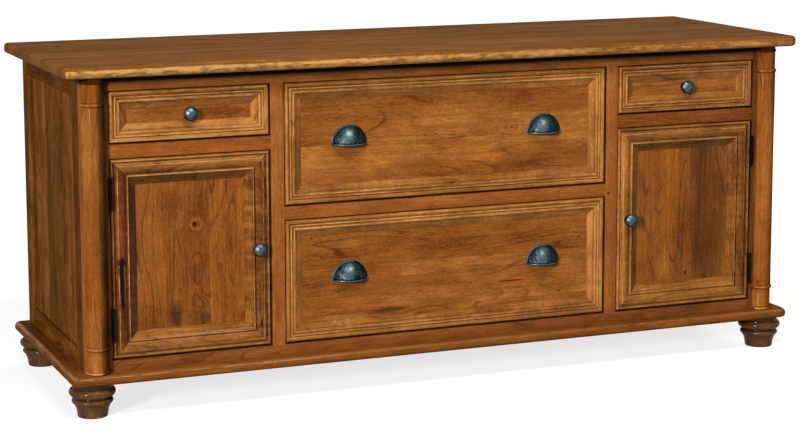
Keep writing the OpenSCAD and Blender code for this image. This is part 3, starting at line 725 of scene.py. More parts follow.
def metal_group() -> NodeTree:
    """A dark patina, lighter where the crevice value is low; on the knobs and pulls the lighter places are
    partly rubbing and partly painted highlight, and the darker ones partly patina and partly painted shade.
    """
    sheet, given, end = new_group(
        "patina",
        [("Vector", "Vector"), ("Crevice", "Float"), ("Deep", "Color"), ("Rubbed", "Color"),
         ("Gloss", "Float"), ("Mottle", "Float")],
        [("Color", "Color"), ("Roughness", "Float"), ("Height", "Float")],
    )
    cloud = sheet.noise(given["Vector"], (170, 170, 170), 4, 0.6).outputs[0]
    fine = sheet.noise(given["Vector"], (1400, 1400, 1400), 2).outputs[0]
    rubbed_and_highlit_share = sheet.math("SUBTRACT", sheet.sway(cloud, given["Mottle"], 0.5), given["Crevice"])
    share = sheet.span(rubbed_and_highlit_share, 0.0, 1.0)
    colour = sheet.mix(share, given["Deep"], given["Rubbed"])
    gloss = sheet.math("MULTIPLY_ADD", sheet.math("SUBTRACT", 1.0, share), 0.25, given["Gloss"])
    gloss = sheet.sway(fine, 0.1, gloss)
    height = sheet.math("ADD", cloud, fine)
    return finish_group(sheet, end, {"Color": colour, "Roughness": gloss, "Height": height})


@cache
def group(name: str) -> NodeTree:
    """One of the shared node groups, built the first time it is asked for."""
    makers = {
        "wood": wood_group, "knot": knot_group, "mark": mark_group, "boards": boards_group,
        "patina": metal_group,
    }
    return makers[name]()


@dataclass(frozen=True)
class Knot:
    """A knot: its place, how far the rings bend round it, and the share of that which is its dark heart."""

    at: Point
    reach: Point
    heart: float = 0.0
    lift: float = 0.12


@dataclass(frozen=True)
class Mark:
    """A mark on the wood, or a painted shadow: place, half sizes, edge and strength; with a line width it
    is a hollow ring.
    """

    at: Point
    reach: Point
    colour: str = "20130a"
    strength: float = 0.8
    ragged: float = 0.8
    soft: float = 0.4
    line: float = 0.0


@dataclass(frozen=True)
class Glued:
    """Boards glued edge to edge: their width, where one joint lies, and how much they differ."""

    width: float
    start: float
    spread: float = 0.3


def face_knots(y: float, *rows: tuple[float, ...]) -> list[Knot]:
    """Knots on an upright face, from rows of X, Z, reach in X, reach in Z, heart and lift."""
    return [Knot((x, y, z), (across, 0.05, up), heart, lift) for x, z, across, up, heart, lift in rows]


def face_marks(y: float, deep: float, *rows: tuple) -> list[Mark]:
    """Marks on an upright face, from rows of X, Z, reach in X, reach in Z and a mark's other fields."""
    return [Mark((x, y, z), (across, deep, up), *rest) for x, z, across, up, *rest in rows]


def begin(name: str) -> tuple[Material, Nodes, Node]:
    """Starts a material on a cleared tree with a Principled shader.

    Args:
        name: the material's name.

    Returns:
        The material, its nodes and the shader.
    """
    made = bpy.data.materials.new(name)
    made.use_nodes = True
    made.node_tree.nodes.clear()
    sheet = Nodes(made.node_tree)
    shader = sheet.add("BsdfPrincipled")
    sheet.add("OutputMaterial", {"Surface": shader.outputs[0]})
    return made, sheet, shader


@dataclass(frozen=True)
class Wood:
    """A stained and varnished wood, darker in its hollows and lighter on its crests, from glazing and
    abrasion and from painted shade and painted highlight.
    """

    name: str
    light: str
    mid: str
    dark: str
    # The dark colour of glazing and painted shade, of knot hearts and of board joints.
    glaze: str = "1c0f06"
    figure: float = 1.0
    pores: float = 0.35
    gloss: float = 0.42
    coat: float = 0.03
    crests: float = 0.35
    # The crest colour, partly abrasion and partly painted highlight.
    worn: str = ""
    relief: float = 0.12

    @staticmethod
    def ground(sheet: Nodes, own: NodeSocket, stock: Stock | None) -> tuple[NodeSocket, NodeSocket]:
        """Where each point lies in its board, and how that board looks.

        Args:
            sheet: the material's nodes.
            own: the piece's own coordinates.
            stock: the board's wood where the mesh doesn't keep it.

        Returns:
            The place along, across and through the grain, and the board's tone, redness and curl.
        """
        if stock is None:
            place = sheet.add("Attribute", attribute_name="grain").outputs["Vector"]
            return place, sheet.add("Attribute", attribute_name="board").outputs["Vector"]
        rows = [sheet.vector("DOT_PRODUCT", own, row) for row in stock.grain.value]
        place = sheet.add("CombineXYZ", dict(enumerate(rows))).outputs[0]
        place = sheet.vector("ADD", place, (SEED_ALONG * stock.seed, 0, SEED_THROUGH * stock.seed))
        return place, sheet.add("CombineXYZ", {0: stock.tone, 1: stock.red, 2: stock.curl}).outputs[0]

    def material(
        self,
        suffix: str = "",
        knots: Sequence[Knot] = (),
        marks: Sequence[Mark] = (),
        glued: Glued | None = None,
        stock: Stock | None = None,
    ) -> Material:
        """Makes the material.

        Args:
            suffix: what sets this one apart from others of the same finish.
            knots: the knots of the piece.
            marks: its cracks, streaks and smudges, and painted shadows.
            glued: how its boards are glued up, if it has several.
            stock: the board's wood where the mesh doesn't keep it, as on a CAD node.

        Returns:
            The material.
        """
        made, sheet, shader = begin(self.name + suffix)
        own = sheet.add("TexCoord").outputs["Object"]
        place, look = self.ground(sheet, own, stock)
        crevice = sheet.add("Attribute", attribute_name="crevice").outputs["Fac"]
        line = None
        if glued:
            inputs = {"Vector": place, "Width": glued.width, "Start": glued.start, "Spread": glued.spread}
            row = sheet.shared("boards", inputs).outputs
            place, line = row["Vector"], row["Line"]
            change = sheet.add("CombineXYZ", {0: row["Tone"], 1: row["Red"]}).outputs[0]
            look = sheet.vector("ADD", look, change)
        bend, heart = 0.0, 0.0
        for knot in knots:
            node = sheet.shared("knot", {
                "Vector": own, "Centre": knot.at, "Reach": knot.reach, "Lift": knot.lift,
                "Heart": knot.heart,
            })
            bend = sheet.math("ADD", bend, node.outputs["Field"])
            heart = sheet.math("MAXIMUM", heart, node.outputs["Heart"])
        wood = sheet.shared("wood", {
            "Vector": place, "Field": bend, "Heart": heart, "Board": look, "Crevice": crevice,
            "Light": paint(self.light), "Mid": paint(self.mid), "Dark": paint(self.dark),
            "Glaze": paint(self.glaze), "Bare": paint(self.worn or self.light),
            "Figure": self.figure, "Pores": self.pores, "Gloss": self.gloss,
        }).outputs
        colour = wood["Color"]
        for mark in marks:
            node = sheet.shared("mark", {
                "Vector": own, "Centre": mark.at, "Reach": mark.reach, "Ragged": mark.ragged,
                "Soft": mark.soft, "Hollow": 1.0 if mark.line else 0.0, "Line": mark.line or 1.0,
            })
            share = sheet.math("MULTIPLY", node.outputs["Mask"], mark.strength)
            colour = sheet.mix(share, colour, paint(mark.colour))
        if line is not None:
            colour = sheet.mix(sheet.math("MULTIPLY", line, 0.45), colour, paint(self.glaze))
        bump = sheet.add("Bump", {"Strength": self.relief, "Distance": 0.0004, "Height": wood["Height"]})
        varnish = sheet.math("MULTIPLY_ADD", wood["Worn"], self.crests, self.coat)
        sheet.feed(shader, {
            "Base Color": colour, "Roughness": wood["Roughness"], "Normal": bump.outputs[0],
            "Specular IOR Level": 0.0, "Coat Weight": varnish, "Coat Roughness": 0.14,
        })
        return made


@dataclass(frozen=True)
class Metal:
    """A metal under a patina or a plating."""

    name: str
    deep: str
    rubbed: str
    gloss: float = 0.3
    mottle: float = 1.2
    metallic: float = 1.0
    relief: float = 0.15

    def material(self) -> Material:
        """Makes the material."""
        made, sheet, shader = begin(self.name)
        own = sheet.add("TexCoord").outputs["Object"]
        crevice = sheet.add("Attribute", attribute_name="crevice").outputs["Fac"]
        skin = sheet.shared("patina", {
            "Vector": own, "Crevice": crevice, "Deep": paint(self.deep), "Rubbed": paint(self.rubbed),
            "Gloss": self.gloss, "Mottle": self.mottle,
        }).outputs
        bump = sheet.add("Bump", {"Strength": self.relief, "Distance": 0.0003, "Height": skin["Height"]})
        sheet.feed(shader, {
            "Base Color": skin["Color"], "Roughness": skin["Roughness"], "Normal": bump.outputs[0],
            "Metallic": self.metallic,
        })
        return made


# The pale crest colours of the top, the columns and the mouldings are partly abrasion and partly painted
# highlight.
TOP = Wood("top_stain", "905e2a", "70481e", "482b0f", figure=0.85, coat=0.03, worn="cfa05c", crests=0.3)
BASE = Wood("base_stain", "8c5828", "6c421a", "42250e", figure=0.8, coat=0.02, crests=0.6)
FEET = Wood("feet_stain", "76502a", "4e3016", "1f1206", figure=0.9, gloss=0.24, coat=0.28)
TURNED = Wood(
    "column_stain", "9e6a2f", "7c4b1e", "4c2b0d",
    figure=0.9, gloss=0.36, coat=0.03, crests=1.2, worn="c08846")
FACE = Wood("face_stain", "a87237", "885224", "593313", figure=0.8, coat=0.05)
# The ends are stained darker than the front; part of that darkness is painted shade for the lesser light
# that reaches them.
SIDES = Wood("side_stain", "8a5a29", "643d16", "41250c", figure=1.2, coat=0.01)
MOULD = Wood("moulding_stain", "bb854a", "8f5f2c", "563115", figure=0.9, coat=0.09, worn="dcac6c")
PANEL = Wood("panel_stain", "b27838", "8e5824", "5a3112", figure=1.0, coat=0.06)
PLY = Wood("birch", "d9bd8c", "c8a673", "a5804e", glaze="5a3d20", figure=0.5, pores=0.2, gloss=0.5)
BOX = Wood("maple_box", "e0c596", "cfae7a", "ab8552", glaze="5a3d20", figure=0.5, pores=0.2, gloss=0.45)
# Pewter's light colour also carries the painted highlights of the knobs and pulls, and its dark colour
# their painted shade.
PEWTER = Metal("antique_pewter", "03080a", "4c6268", gloss=0.31, mottle=1.15)
IRON = Metal("black_iron", "040506", "14171a", gloss=0.35, mottle=0.8)
ZINC = Metal("slide_zinc", "8d9196", "c2c6ca", gloss=0.3, mottle=0.9)
ALUMINIUM = Metal("rail_aluminium", "a3a7aa", "cdd0d2", gloss=0.25, mottle=0.6)


# Pieces


def dress(
    piece: Object,
    name: str,
    body: str,
    material: Material,
    nodes: Sequence[str] = (),
    smooth: float = 32,
) -> Object:
    """Finishes a piece: shading, material, the body it rides on and the nodes it stands for.

    Args:
        piece: the object.
        name: the piece's name.
        body: the CAD body it moves with.
        material: its finish.
        nodes: the CAD nodes that it replaces.
        smooth: the angle under which faces shade as one, in degrees.

    Returns:
        The same piece.
    """
    focus(piece)
    bpy.ops.object.shade_smooth_by_angle(angle=math.radians(smooth))
    piece.name = name
    piece.data.name = name
    piece.data.materials.clear()
    piece.data.materials.append(material)
    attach(piece, body)
    if nodes:
        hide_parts(*nodes)
    LOG.info("%s: %d faces on %s", name, len(piece.data.polygons), body)
    return piece


@dataclass
class Worktop:
    """The solid top, glued up of boards, with rounded front corners and edges."""

    half_w: float = 0.9190
    half_d: float = 0.3075
    thick: float = 0.025
    corner_r: float = 0.024
    edge_r: float = 0.009
    # Crevice values by height on the front edge: painted shade at the bottom, then lighter bands, partly
    # abrasion and partly painted highlight.
    levels: tuple[Flat, ...] = (
        (0.0012, 0.4), (0.0060, -0.6), (0.0100, -0.5), (0.0165, -0.95), (0.0195, -0.4), (0.0300, -0.15))
    smudges: tuple[Point, ...] = (
        (-0.88, 0.010, 0.020), (-0.83, 0.006, 0.024), (-0.75, 0.011, 0.030), (-0.67, 0.006, 0.022),
        (-0.60, 0.012, 0.026), (-0.50, 0.007, 0.034), (-0.39, 0.012, 0.030), (-0.27, 0.006, 0.040),
        (-0.14, 0.011, 0.030), (0.00, 0.006, 0.036), (0.13, 0.012, 0.030), (0.27, 0.007, 0.044),
        (0.43, 0.012, 0.034), (0.56, 0.006, 0.040), (0.70, 0.011, 0.034), (0.85, 0.007, 0.040))

    def amount(self, v: Vector) -> float:
        """Painted shade on the lowest band of the front edge, and lighter bands up its face and arrises
        that are partly abrasion and partly painted highlight, weaker on the right half, away from the
        light.
        """
        if v.y > self.edge_r * 0.9 - self.half_d:
            return 0.0
        value = next(value for top, value in self.levels if v.z < CASE.top_z + top)
        # The right half keeps less lightening: the painted highlight is strongest on the left, nearer the
        # light.
        return value if v.x < 0 or value > 0 else max(value, -0.3)

    def build(self) -> None:
        """Makes the slab and dresses it."""
        z = CASE.top_z
        piece = block((-self.half_w, -self.half_d, z), (self.half_w, CASE.back, z + self.thick))
        round_corners(piece, self.half_w, -self.half_d, self.corner_r)
        ease(piece, self.edge_r, lambda a, b: abs(a.z - b.z) < HAIR and not on_plane(a, b, 1, CASE.back), 6)
        saw(piece, Stock(Grain.FLAT, 0.3))
        glaze(piece, self.amount)
        marks = [
            Mark((x, -self.half_d, z + up), (reach, 0.012, 0.007), "5a3412", 0.42, 2.2, 0.9)
            for x, up, reach in self.smudges
        ]
        material = TOP.material(marks=marks, glued=Glued(0.112, 0.031, 0.16))
        dress(piece, "worktop_slab", "carcase", material, ["worktop"], 40)


@dataclass
class BaseBoard:
    """The board under the case, rounded over in front and at its ends and mitred at the front corners."""

    half_w: float = 0.912
    front: float = -0.3025
    corner_r: float = 0.024
    upper_r: float = 0.013
    lower_r: float = 0.008

    def build(self) -> None:
        """Makes the board, parts it along its mitres and dresses it."""
        z, top = CASE.plinth_z, CASE.case_z
        piece = block((-self.half_w, self.front, z), (self.half_w, CASE.back, top))
        round_corners(piece, self.half_w, self.front, self.corner_r)
        for height, radius in ((top, self.upper_r), (z, self.lower_r)):
            ease(piece, radius, lambda a, b, h=height: (
                on_plane(a, b, 2, h) and not on_plane(a, b, 1, CASE.back)), 7)
        for side in Side:
            corner = (side.value * self.half_w, self.front, z)
            with editing(piece):
                bpy.ops.mesh.bisect(plane_co=corner, plane_no=(side.value, 1, 0))
        saw(piece, Stock(Grain.ACROSS_ROOM, 1.1))
        for side in Side:
            saw(piece, Stock(Grain.FRONT_TO_BACK, 2.3 + side.value, 0.08, 0.1), lambda c, s=side.value: (
                s * c.x > 0.6 and self.half_w - s * c.x < c.y - self.front))
        # A lighter band along the top rounding: painted highlight, with more coat.
        crest = top - self.upper_r * 0.55
        glaze(piece, lambda v: -0.6 if crest < v.z < top - 0.001 else 0.0)
        dress(piece, "base_board_moulded", "carcase", BASE.material(), ["base_board"], 40)


@dataclass
class Feet:
    """The four turned feet."""

    x: float = 0.858
    ys: Flat = (-0.2485, 0.2525)
    height: float = 78.0
    deep: tuple[float, ...] = (30.8, 31.6, 43.4, 45.2, 47.0, 48.1, 66.6, 69.0)

    def outline(self) -> list[Flat]:
        """The foot's half outline, from the middle of its sole to that of its top, in millimetres."""
        return [
            (0, 0), (30, 0), (32.4, 0.4), (33.6, 1.6), (34.0, 4), (34.3, 8), (34.9, 12.5), (36.2, 18),
            (38.3, 24), (40.6, 28.6), (41.9, 30.8), (41.6, 31.6),
            *arc((39.9, 37), 6.5, -50, 50, 8),
            (42.2, 43.4), (41.4, 45.2), (41.6, 47), (43.0, 48.1),
            *arc((42.8, 57), 9.5, -66, 66, 12),
            (45.0, 66.6), (44.4, 69), (44.5, 73), (45.2, 76), (45.4, self.height), (0, self.height),
        ]

    def amount(self, v: Vector) -> float:
        """Painted shadow on the neck under the base board, and darkening in the creases that is partly
        glazing and partly painted shade.
        """
        creased = any(abs(v.z / MM - z) < 0.3 for z in self.deep) and math.hypot(v.x, v.y) > 0.03
        return 0.85 if v.z > 0.068 or creased else 0.0

    def build(self) -> None:
        """Turns one foot and copies it to the four corners."""
        first = lathe(self.outline(), (0, 0, 0), 64)
        glaze(first, self.amount)
        placed = []
        for i, (x, y) in enumerate((x, y) for y in self.ys for x in (-self.x, self.x)):
            foot = shift(copy(first, "foot"), (x, y, 0))
            placed.append(saw(foot, Stock(Grain.UPRIGHT, 4.0 + i)))
        bpy.data.objects.remove(first)
        piece = joined(placed, "turned_feet")
        dress(piece, "turned_feet", "carcase", FEET.material(), ["feet"], 35)


@dataclass
class CornerColumns:
    """The half-round columns on the front corners, with their ring beads."""

    x: float = 0.8475
    shaft_r: float = 26.0
    end_r: float = 25.0
    height: float = 660.0
    rings: Flat = (57.0, 600.0)
    ring_half: float = 4.5
    ring_r: float = 28.5
    cap: float = 646.0

    def outline(self) -> list[Flat]:
        """The column's half outline, from the middle of its foot to that of its top, in millimetres."""
        points = [(0, 0), (28.6, 0), *arc((26.2, 3.5), 3.3, -80, 80, 8), (25.6, 7.4), (25.0, 8.4)]
        lower, upper = self.rings
        for z, below, above in ((lower, self.end_r, self.shaft_r), (upper, self.shaft_r, self.end_r)):
            points += [(below, z - self.ring_half - 1.2), (below - 0.4, z - self.ring_half - 0.2)]
            points += arc((self.ring_r - self.ring_half, z), self.ring_half, -78, 78, 10)
            points += [(above - 0.4, z + self.ring_half + 0.2), (above, z + self.ring_half + 1.2)]
        cap, end = self.cap, self.height
        points += [(25.0, cap - 0.8), (25.4, cap), *arc((24.0, cap + 3.5), 3.5, -80, 80, 8)]
        return [*points, (25.2, cap + 7.2), (25.0, cap + 8), (25.0, end), (0, end)]

    def amount(self, v: Vector) -> float:
        """Darkening in the rings' creases, partly glazing and partly painted shade; painted shadow of the
        worktop over the cap; painted shade on each column's side away from the light and on the right
        column's inner edge; and lighter ring crests, partly abrasion and partly painted highlight.
        """
        z = (v.z - CASE.case_z) / MM
        creases = [ring + s * (self.ring_half + 0.2) for ring in self.rings for s in (-1, 1)]
        across = (abs(v.x) - self.x) * math.copysign(1, v.x) / (self.shaft_r * MM)
        if any(abs(z - d) < 0.5 for d in (7.4, self.cap - 0.2, self.cap + 7.3, *creases)):
            return 0.9
        # Painted shadow of the worktop over the cap.
        if z > self.cap:
            return 0.8
        # Painted shade on the right column's inner edge and on each column's side away from the light.
        if v.x > 0 and across < -0.94:
            return 0.6
        if across > 0.12:
            return min(0.8, 0.5 + 0.6 * (across - 0.12)) * (1.0 if v.x < 0 else 0.45)
        return -0.8 if any(abs(z - c) < 1.2 for c in (3.5, *self.rings)) else 0.0

    def build(self) -> None:
        """Turns one column and mirrors it."""
        first = lathe(self.outline(), (-self.x, CASE.face, CASE.case_z), 48, 180)
        second = flip(copy(first, "column"))
        for side, piece, seed in ((Side.LEFT, first, 7.7), (Side.RIGHT, second, 8.6)):
            glaze(piece, self.amount)
            saw(piece, Stock(Grain.UPRIGHT, seed, -0.04, 0.25 if side is Side.RIGHT else 0.1))
            label, node = side.label, side.label + "_column"
            material = TURNED.material("_" + label)
            dress(piece, f"{label}_turned_column", "carcase", material, [node], 35)


@dataclass
class FaceFrame:
    """Stiles, mullions and rails, each eased along the openings; an end covers the easing that it meets."""

    eased: float = 0.0025

    def member(self, xs: Flat, zs: Flat, axis: int, edges: Sequence[float]) -> Object:
        """One member between two places in X and two in Z, eased along the openings.

        Args:
            xs: its left and right ends.
            zs: its lower and upper ends.
            axis: the axis across the eased edges, 0 for a stile and 2 for a rail.
            edges: their places on it.

        Returns:
            The new object.
        """
        low, high = (xs[0], CASE.face, zs[0]), (xs[1], CASE.face_back, zs[1])
        return eased_member(low, high, (1, CASE.face), (axis, edges), self.eased, 4)

    def shade(self, piece: Object, axis: int, near: bool = True) -> None:
        """Paints shade on the edge that lies right of or below an opening, where the gap's shadow falls, or
        writes nought everywhere.

        Args:
            piece: the member.
            axis: the axis across which it is measured, 0 for a stile and 2 for a rail.
            near: whether such an edge gets the painted shade.
        """
        places = [v.co[axis] for v in piece.data.vertices]
        edge = min(places) if axis == 0 else max(places)
        glaze(piece, lambda v: 0.9 if near and abs(v[axis] - edge) < self.eased * 0.7 else 0.0)

    def sided(self, side: Side) -> tuple[Object, Object, Object]:
        """One side's stile, mullion and head rail.

        Args:
            side: the side they are on.

        Returns:
            The three members, sawn and shaded.
        """
        c, e, right = CASE, self.eased, side is Side.RIGHT
        stile = self.member((-c.half, -c.open_out), (c.case_z, c.top_z), 0, (-c.half, -c.open_out))
        for z in c.hinge_zs:
            low = (-c.open_out - 0.002, c.face - 0.001, z - c.hinge_half)
            high = (-c.open_out + 0.001, c.face_back + 0.001, z + c.hinge_half)
            combine(stile, block(low, high), "DIFFERENCE")
        xs, zs = (-c.open_in, -c.centre), (c.door_top, c.small_bottom)
        mullion = self.member(xs, (c.open_bottom - e, c.open_top + e), 0, xs)
        head = self.member((-c.open_out - e, -c.open_in + e), zs, 2, zs)
        for piece, axis, near, stock in (
            (stile, 0, right, Stock(Grain.UPRIGHT, 11 + side.value, -0.02, 0.1)),
            (mullion, 0, True, Stock(Grain.UPRIGHT, 14 + side.value, -0.04, 0.1)),
            (head, 2, True, Stock(Grain.ACROSS_ROOM, 17.5 + side.value, 0.3 if right else 0.04, 0.3)),
        ):
            if right:
                flip(piece)
            self.shade(piece, axis, near)
            saw(piece, stock)
        return stile, mullion, head

    def build(self) -> None:
        """Makes all the members."""
        c, e = CASE, self.eased
        # Painted shadow of the worktop's overhang: a soft dark band and a black line along the top of the
        # face frame.
        shade = Mark((0, c.face, c.top_z - 0.003), (9.0, 0.04, 0.027), "0e0803", 0.95, 0.1, 0.9)
        line = Mark((0, c.face, c.top_z), (9.0, 0.04, 0.0155), "050302", 1.0, 0.05, 0.35)
        # Painted shadow of each column on the stile beside it.
        column_shadow_strips = [
            Mark((side.value * 0.8185, c.face, 0.43), (0.0095, 0.04, 0.80), "170c05", 0.6, 0.1, 0.8)
            for side in Side
        ]
        smudges = [
            Mark((0.4180, c.face, 0.4200), (0.0065, 0.03, 0.0065), "2e1608", 0.85, 0.6, 0.8),
            Mark((-0.425, c.face, 0.20), (0.012, 0.03, 0.05), "5a2e10", 0.5, 1.2, 0.8),
        ]
        knot = Knot((0.4180, c.face, 0.4200), (0.012, 0.05, 0.014), 0.0, 0.1)
        plain = FACE.material(marks=[shade, line, *column_shadow_strips])
        knotty = FACE.material("_knotty", [knot], [*smudges, shade])
        pairs = zip(*(self.sided(side) for side in Side))
        for pair, label, node, material in zip(
            pairs, ("stiles", "mullions", "head_rails"), ("corner_stiles", "mullions", "door_head_rails"),
            (plain, knotty, plain),
        ):
            name = "face_" + label
            dress(joined(pair, name), name, "carcase", material, [node], 40)
        wide, narrow = (-c.open_out - e, c.open_out + e), (-c.centre - e, c.centre + e)
        lower, middle = (c.case_z, c.open_bottom), (c.lower_top, c.upper_bottom)
        for label, node, xs, zs, edges, near, look in (
            ("top", "top_rail", wide, (c.open_top, c.top_z), (c.open_top,), False, (20.2, 0.0, 0.15)),
            ("bottom", "bottom_rail", wide, lower, (c.open_bottom,), True, (21.4, 0.2, 0.0)),
            ("middle", "center_rail", narrow, middle, middle, True, (22.9, 0.08, 0.1)),
        ):
            rail = saw(self.member(xs, zs, 2, edges), Stock(Grain.ACROSS_ROOM, *look))
            self.shade(rail, 2, near)
            dress(rail, f"face_{label}_rail", "carcase", plain, [node], 40)


@dataclass
class SideWall:
    """One side of the case: a frame of two stiles and two rails round a panel of glued boards."""

    side: Side
    front_w: float = 0.060
    back_w: float = 0.052
    top_w: float = 0.050
    bottom_w: float = 0.040
    thick: float = 0.020
    panel_in: float = 0.008
    panel_t: float = 0.007
    tongue: float = 0.009
    chamfer: float = 0.0045

    def member(self, low: Point, high: Point, axis: int, edge: float, stock: Stock) -> Object:
        """One member of the frame, chamfered on the outside along the panel.

        Args:
            low: its lowest corner.
            high: its highest corner.
            axis: the axis across which it is measured, 1 for a stile and 2 for a rail.
            edge: the place on that axis of the chamfered edge.
            stock: its wood.

        Returns:
            The new object.
        """
        piece = eased_member(low, high, (0, -CASE.half), (axis, (edge,)), self.chamfer, 1)
        ease(piece, 0.0008, lambda a, b: on_plane(a, b, 0, -CASE.half) and on_plane(a, b, 1, CASE.back), 2)
        return saw(piece, stock)

    def build(self) -> None:
        """Makes the frame and the panel."""
        c, e, t = CASE, self.chamfer, self.tongue
        x0, x1 = -c.half, -c.inner
        y0, y1 = c.face_back + self.front_w, c.back - self.back_w
        z0, z1 = c.case_z + self.bottom_w, c.top_z - self.top_w
        seed = {Side.LEFT: 31.0, Side.RIGHT: 41.0}[self.side]
        upright, level = Grain.UPRIGHT_SIDE, Grain.FRONT_TO_BACK
        frame = joined([
            self.member((x0, c.face_back, c.case_z), (x1, y0, c.top_z), 1, y0, Stock(upright, seed, 0.1)),
            self.member((x0, y1, c.case_z), (x1, c.back, c.top_z), 1, y1, Stock(upright, seed + 1, 0.05)),
            self.member((x0, y0 - e, c.case_z), (x1, y1 + e, z0), 2, z0, Stock(level, seed + 2, 0.05, 0.2)),
            # The top rail is toned darker as painted shadow of the worktop's overhang.
            self.member((x0, y0 - e, z1), (x1, y1 + e, c.top_z), 2, z1, Stock(level, seed + 3, 0.2, 0.1)),
        ], "frame")
        glaze(frame, lambda v: 0.55 if x0 + e * 0.6 < v.x < x0 + e * 1.4 and v.z < z0 + 0.05 else 0.0)
        px = x0 + self.panel_in
        panel = block((px, y0 - t, z0 - t), (px + self.panel_t, y1 + t, z1 + t))
        rim(panel, Vector((-1, 0, 0)), t, 0.006)
        saw(panel, Stock(upright, seed + 4, 0.03))
        if self.side is Side.RIGHT:
            frame, panel = flip(frame), flip(panel)
        x = self.side.value * 0.8675
        knots = [Knot((x, 0.088, 0.612), (0.05, 0.016, 0.05), 0.18, 0.12)]
        marks = [
            Mark((x, 0.082, 0.52), (0.05, 0.016, 0.085), "4a2a12", 0.55, 1.0, 0.9),
            Mark((x, 0.070, 0.36), (0.05, 0.022, 0.30), "4a2e12", 0.45, 0.8, 0.9),
            Mark((x, -0.130, 0.40), (0.05, 0.024, 0.34), "4e3014", 0.4, 0.8, 0.9),
        ]
        label = self.side.label
        plain = SIDES.material("_frame_" + label)
        boards = SIDES.material("_panel_" + label, knots, marks, Glued(0.118, -0.015, 0.5))
        dress(frame, f"{label}_wall_frame", "carcase", plain, [f"{label}_side_frame"], 30)
        dress(panel, f"{label}_wall_panel", "carcase", boards, [f"{label}_side_panel"], 30)


def rim(panel: Object, facing: Vector, hidden: float, band: float) -> None:
    """Parts a panel's face near its frame, and darkens that band, partly glazing and partly painted shade
    where the frame meets the panel.

    Args:
        panel: the panel, a plain block.
        facing: the way its shown face looks.
        hidden: how far the frame covers it.
        band: the width of the darkened band.
    """
    with editing(panel):
        pick(panel, Kind.FACE, lambda c, n: n.dot(facing) > 0.9)
        for width in (hidden, band):
            bpy.ops.mesh.inset(thickness=width, depth=0)
    face = max(panel.data.polygons, key=lambda f: (round(f.normal.dot(facing), 3), f.area))
    inner = {tuple(panel.data.vertices[i].co) for i in face.vertices}
    glaze(panel, lambda v: 0.0 if tuple(v) in inner else RIM_GLAZE_AND_SHADE)


# Moulded fronts


@dataclass(frozen=True)
class Section:
    """A moulding's section: (distance from the outer edge, depth behind the face), in millimetres.

    The last four fields are the darkening in the grooves, at the foot of the slope and in the faint
    creases, partly glazing and partly painted shade, and the lightening on the crests, partly abrasion and
    partly painted highlight.
    """

    width: float
    points: tuple[Flat, ...]
    glazed: tuple[float, ...]
    worn: tuple[float, ...]
    faint: tuple[float, ...]
    slope: float
    groove: float = 0.5
    foot: float = 0.45
    crease: float = 0.28
    crest: float = -0.52

    def amount(self, u: float, depth: float, dusk: float) -> float:
        """The crevice value at a point of the section; the last argument is the painted shade on its slope.
        """
        faint = any(abs(u - f) < CREASE for f in self.faint)
        if depth > self.width * 0.25:
            return 0.0
        if u > self.slope:
            return max(dusk, self.foot if u > self.width - 0.1 else self.crease if faint else 0.0)
        if any(abs(u - g) < CREASE for g in self.glazed):
            return self.groove
        if faint:
            return self.crease
        return self.crest if any(abs(u - w) < 0.6 for w in self.worn) else 0.0


def bead(u: float, depth: float, half: float, rise: float, steps: int = 10) -> list[Flat]:
    """A bead from its outer to its inner side, half round where its rise is half its width."""
    turns = [math.pi * i / steps for i in range(steps + 1)]
    return [(u - half * math.cos(t), depth - rise * math.sin(t)) for t in turns]


def drawer_section() -> Section:
    """Two beads, a quirk, a round shoulder and a reeded slope down to the panel."""
    shoulder = [(17.2, 1.9), (18.4, 1.2), (20.6, 0.9), (22.8, 1.2), (24.2, 2.0), (24.6, 3.3), (26.0, 3.6)]
    slope = [(30.3, 5.2), (30.5, 5.7), (31.0, 5.6), (35.0, 7.3), (35.2, 7.8), (35.7, 7.7), (40.5, 9.6)]
    points = [
        (0, 20), *bead(4.8, 3.4, 4.8, 3.4, 12), (9.8, 4.2), (10.4, 4.2), *bead(13.4, 3.3, 2.9, 2.6),
        (16.5, 4.0), *shoulder, *slope, (40.5, 10.0), (32.0, 10.0), (32.0, 20),
    ]
    glazed = (9.8, 10.4, 24.6, 26.0, 40.5)
    return Section(40.5, tuple(points), glazed, (3.0, 13.0, 20.6), (16.5, 30.5, 35.2), 26.5)


def door_section() -> Section:
    """A bead, a wide roll that stands proud, a second bead and a reeded slope down to the panel."""
    rise, half = 4.5, 12.25
    radius = (half * half + rise * rise) / (2 * rise)
    swing = math.degrees(math.asin(half / radius))
    roll = [(u, d) for d, u in arc((radius - 1.5, 20.75), radius, 180 + swing, 180 - swing, 14)]
    slope = [
        (41.4, 2.7), (44.4, 4.1), (44.7, 4.8), (45.3, 4.6), (48.3, 6.1), (48.6, 6.8), (49.2, 6.6),
        (52.2, 8.1), (52.5, 8.8), (53.1, 8.6), (58.0, 11.0),
    ]
    points = [
        (0, 20), *bead(3.5, 3.5, 3.5, 3.5), (7.0, 4.5), (8.5, 4.5), *roll, (33.0, 4.2), (34.0, 4.2),
        *arc((38.0, 4.6), 3.8, 180, 300, 10), *slope, (58.0, 12.0), (50.0, 12.0), (50.0, 20),
    ]
    glazed = (7.0, 8.5, 33.0, 34.0, 58.0)
    return Section(58, tuple(points), glazed, (3.5, 15.5, 38.0), (44.7, 48.6, 52.5), 41.0)


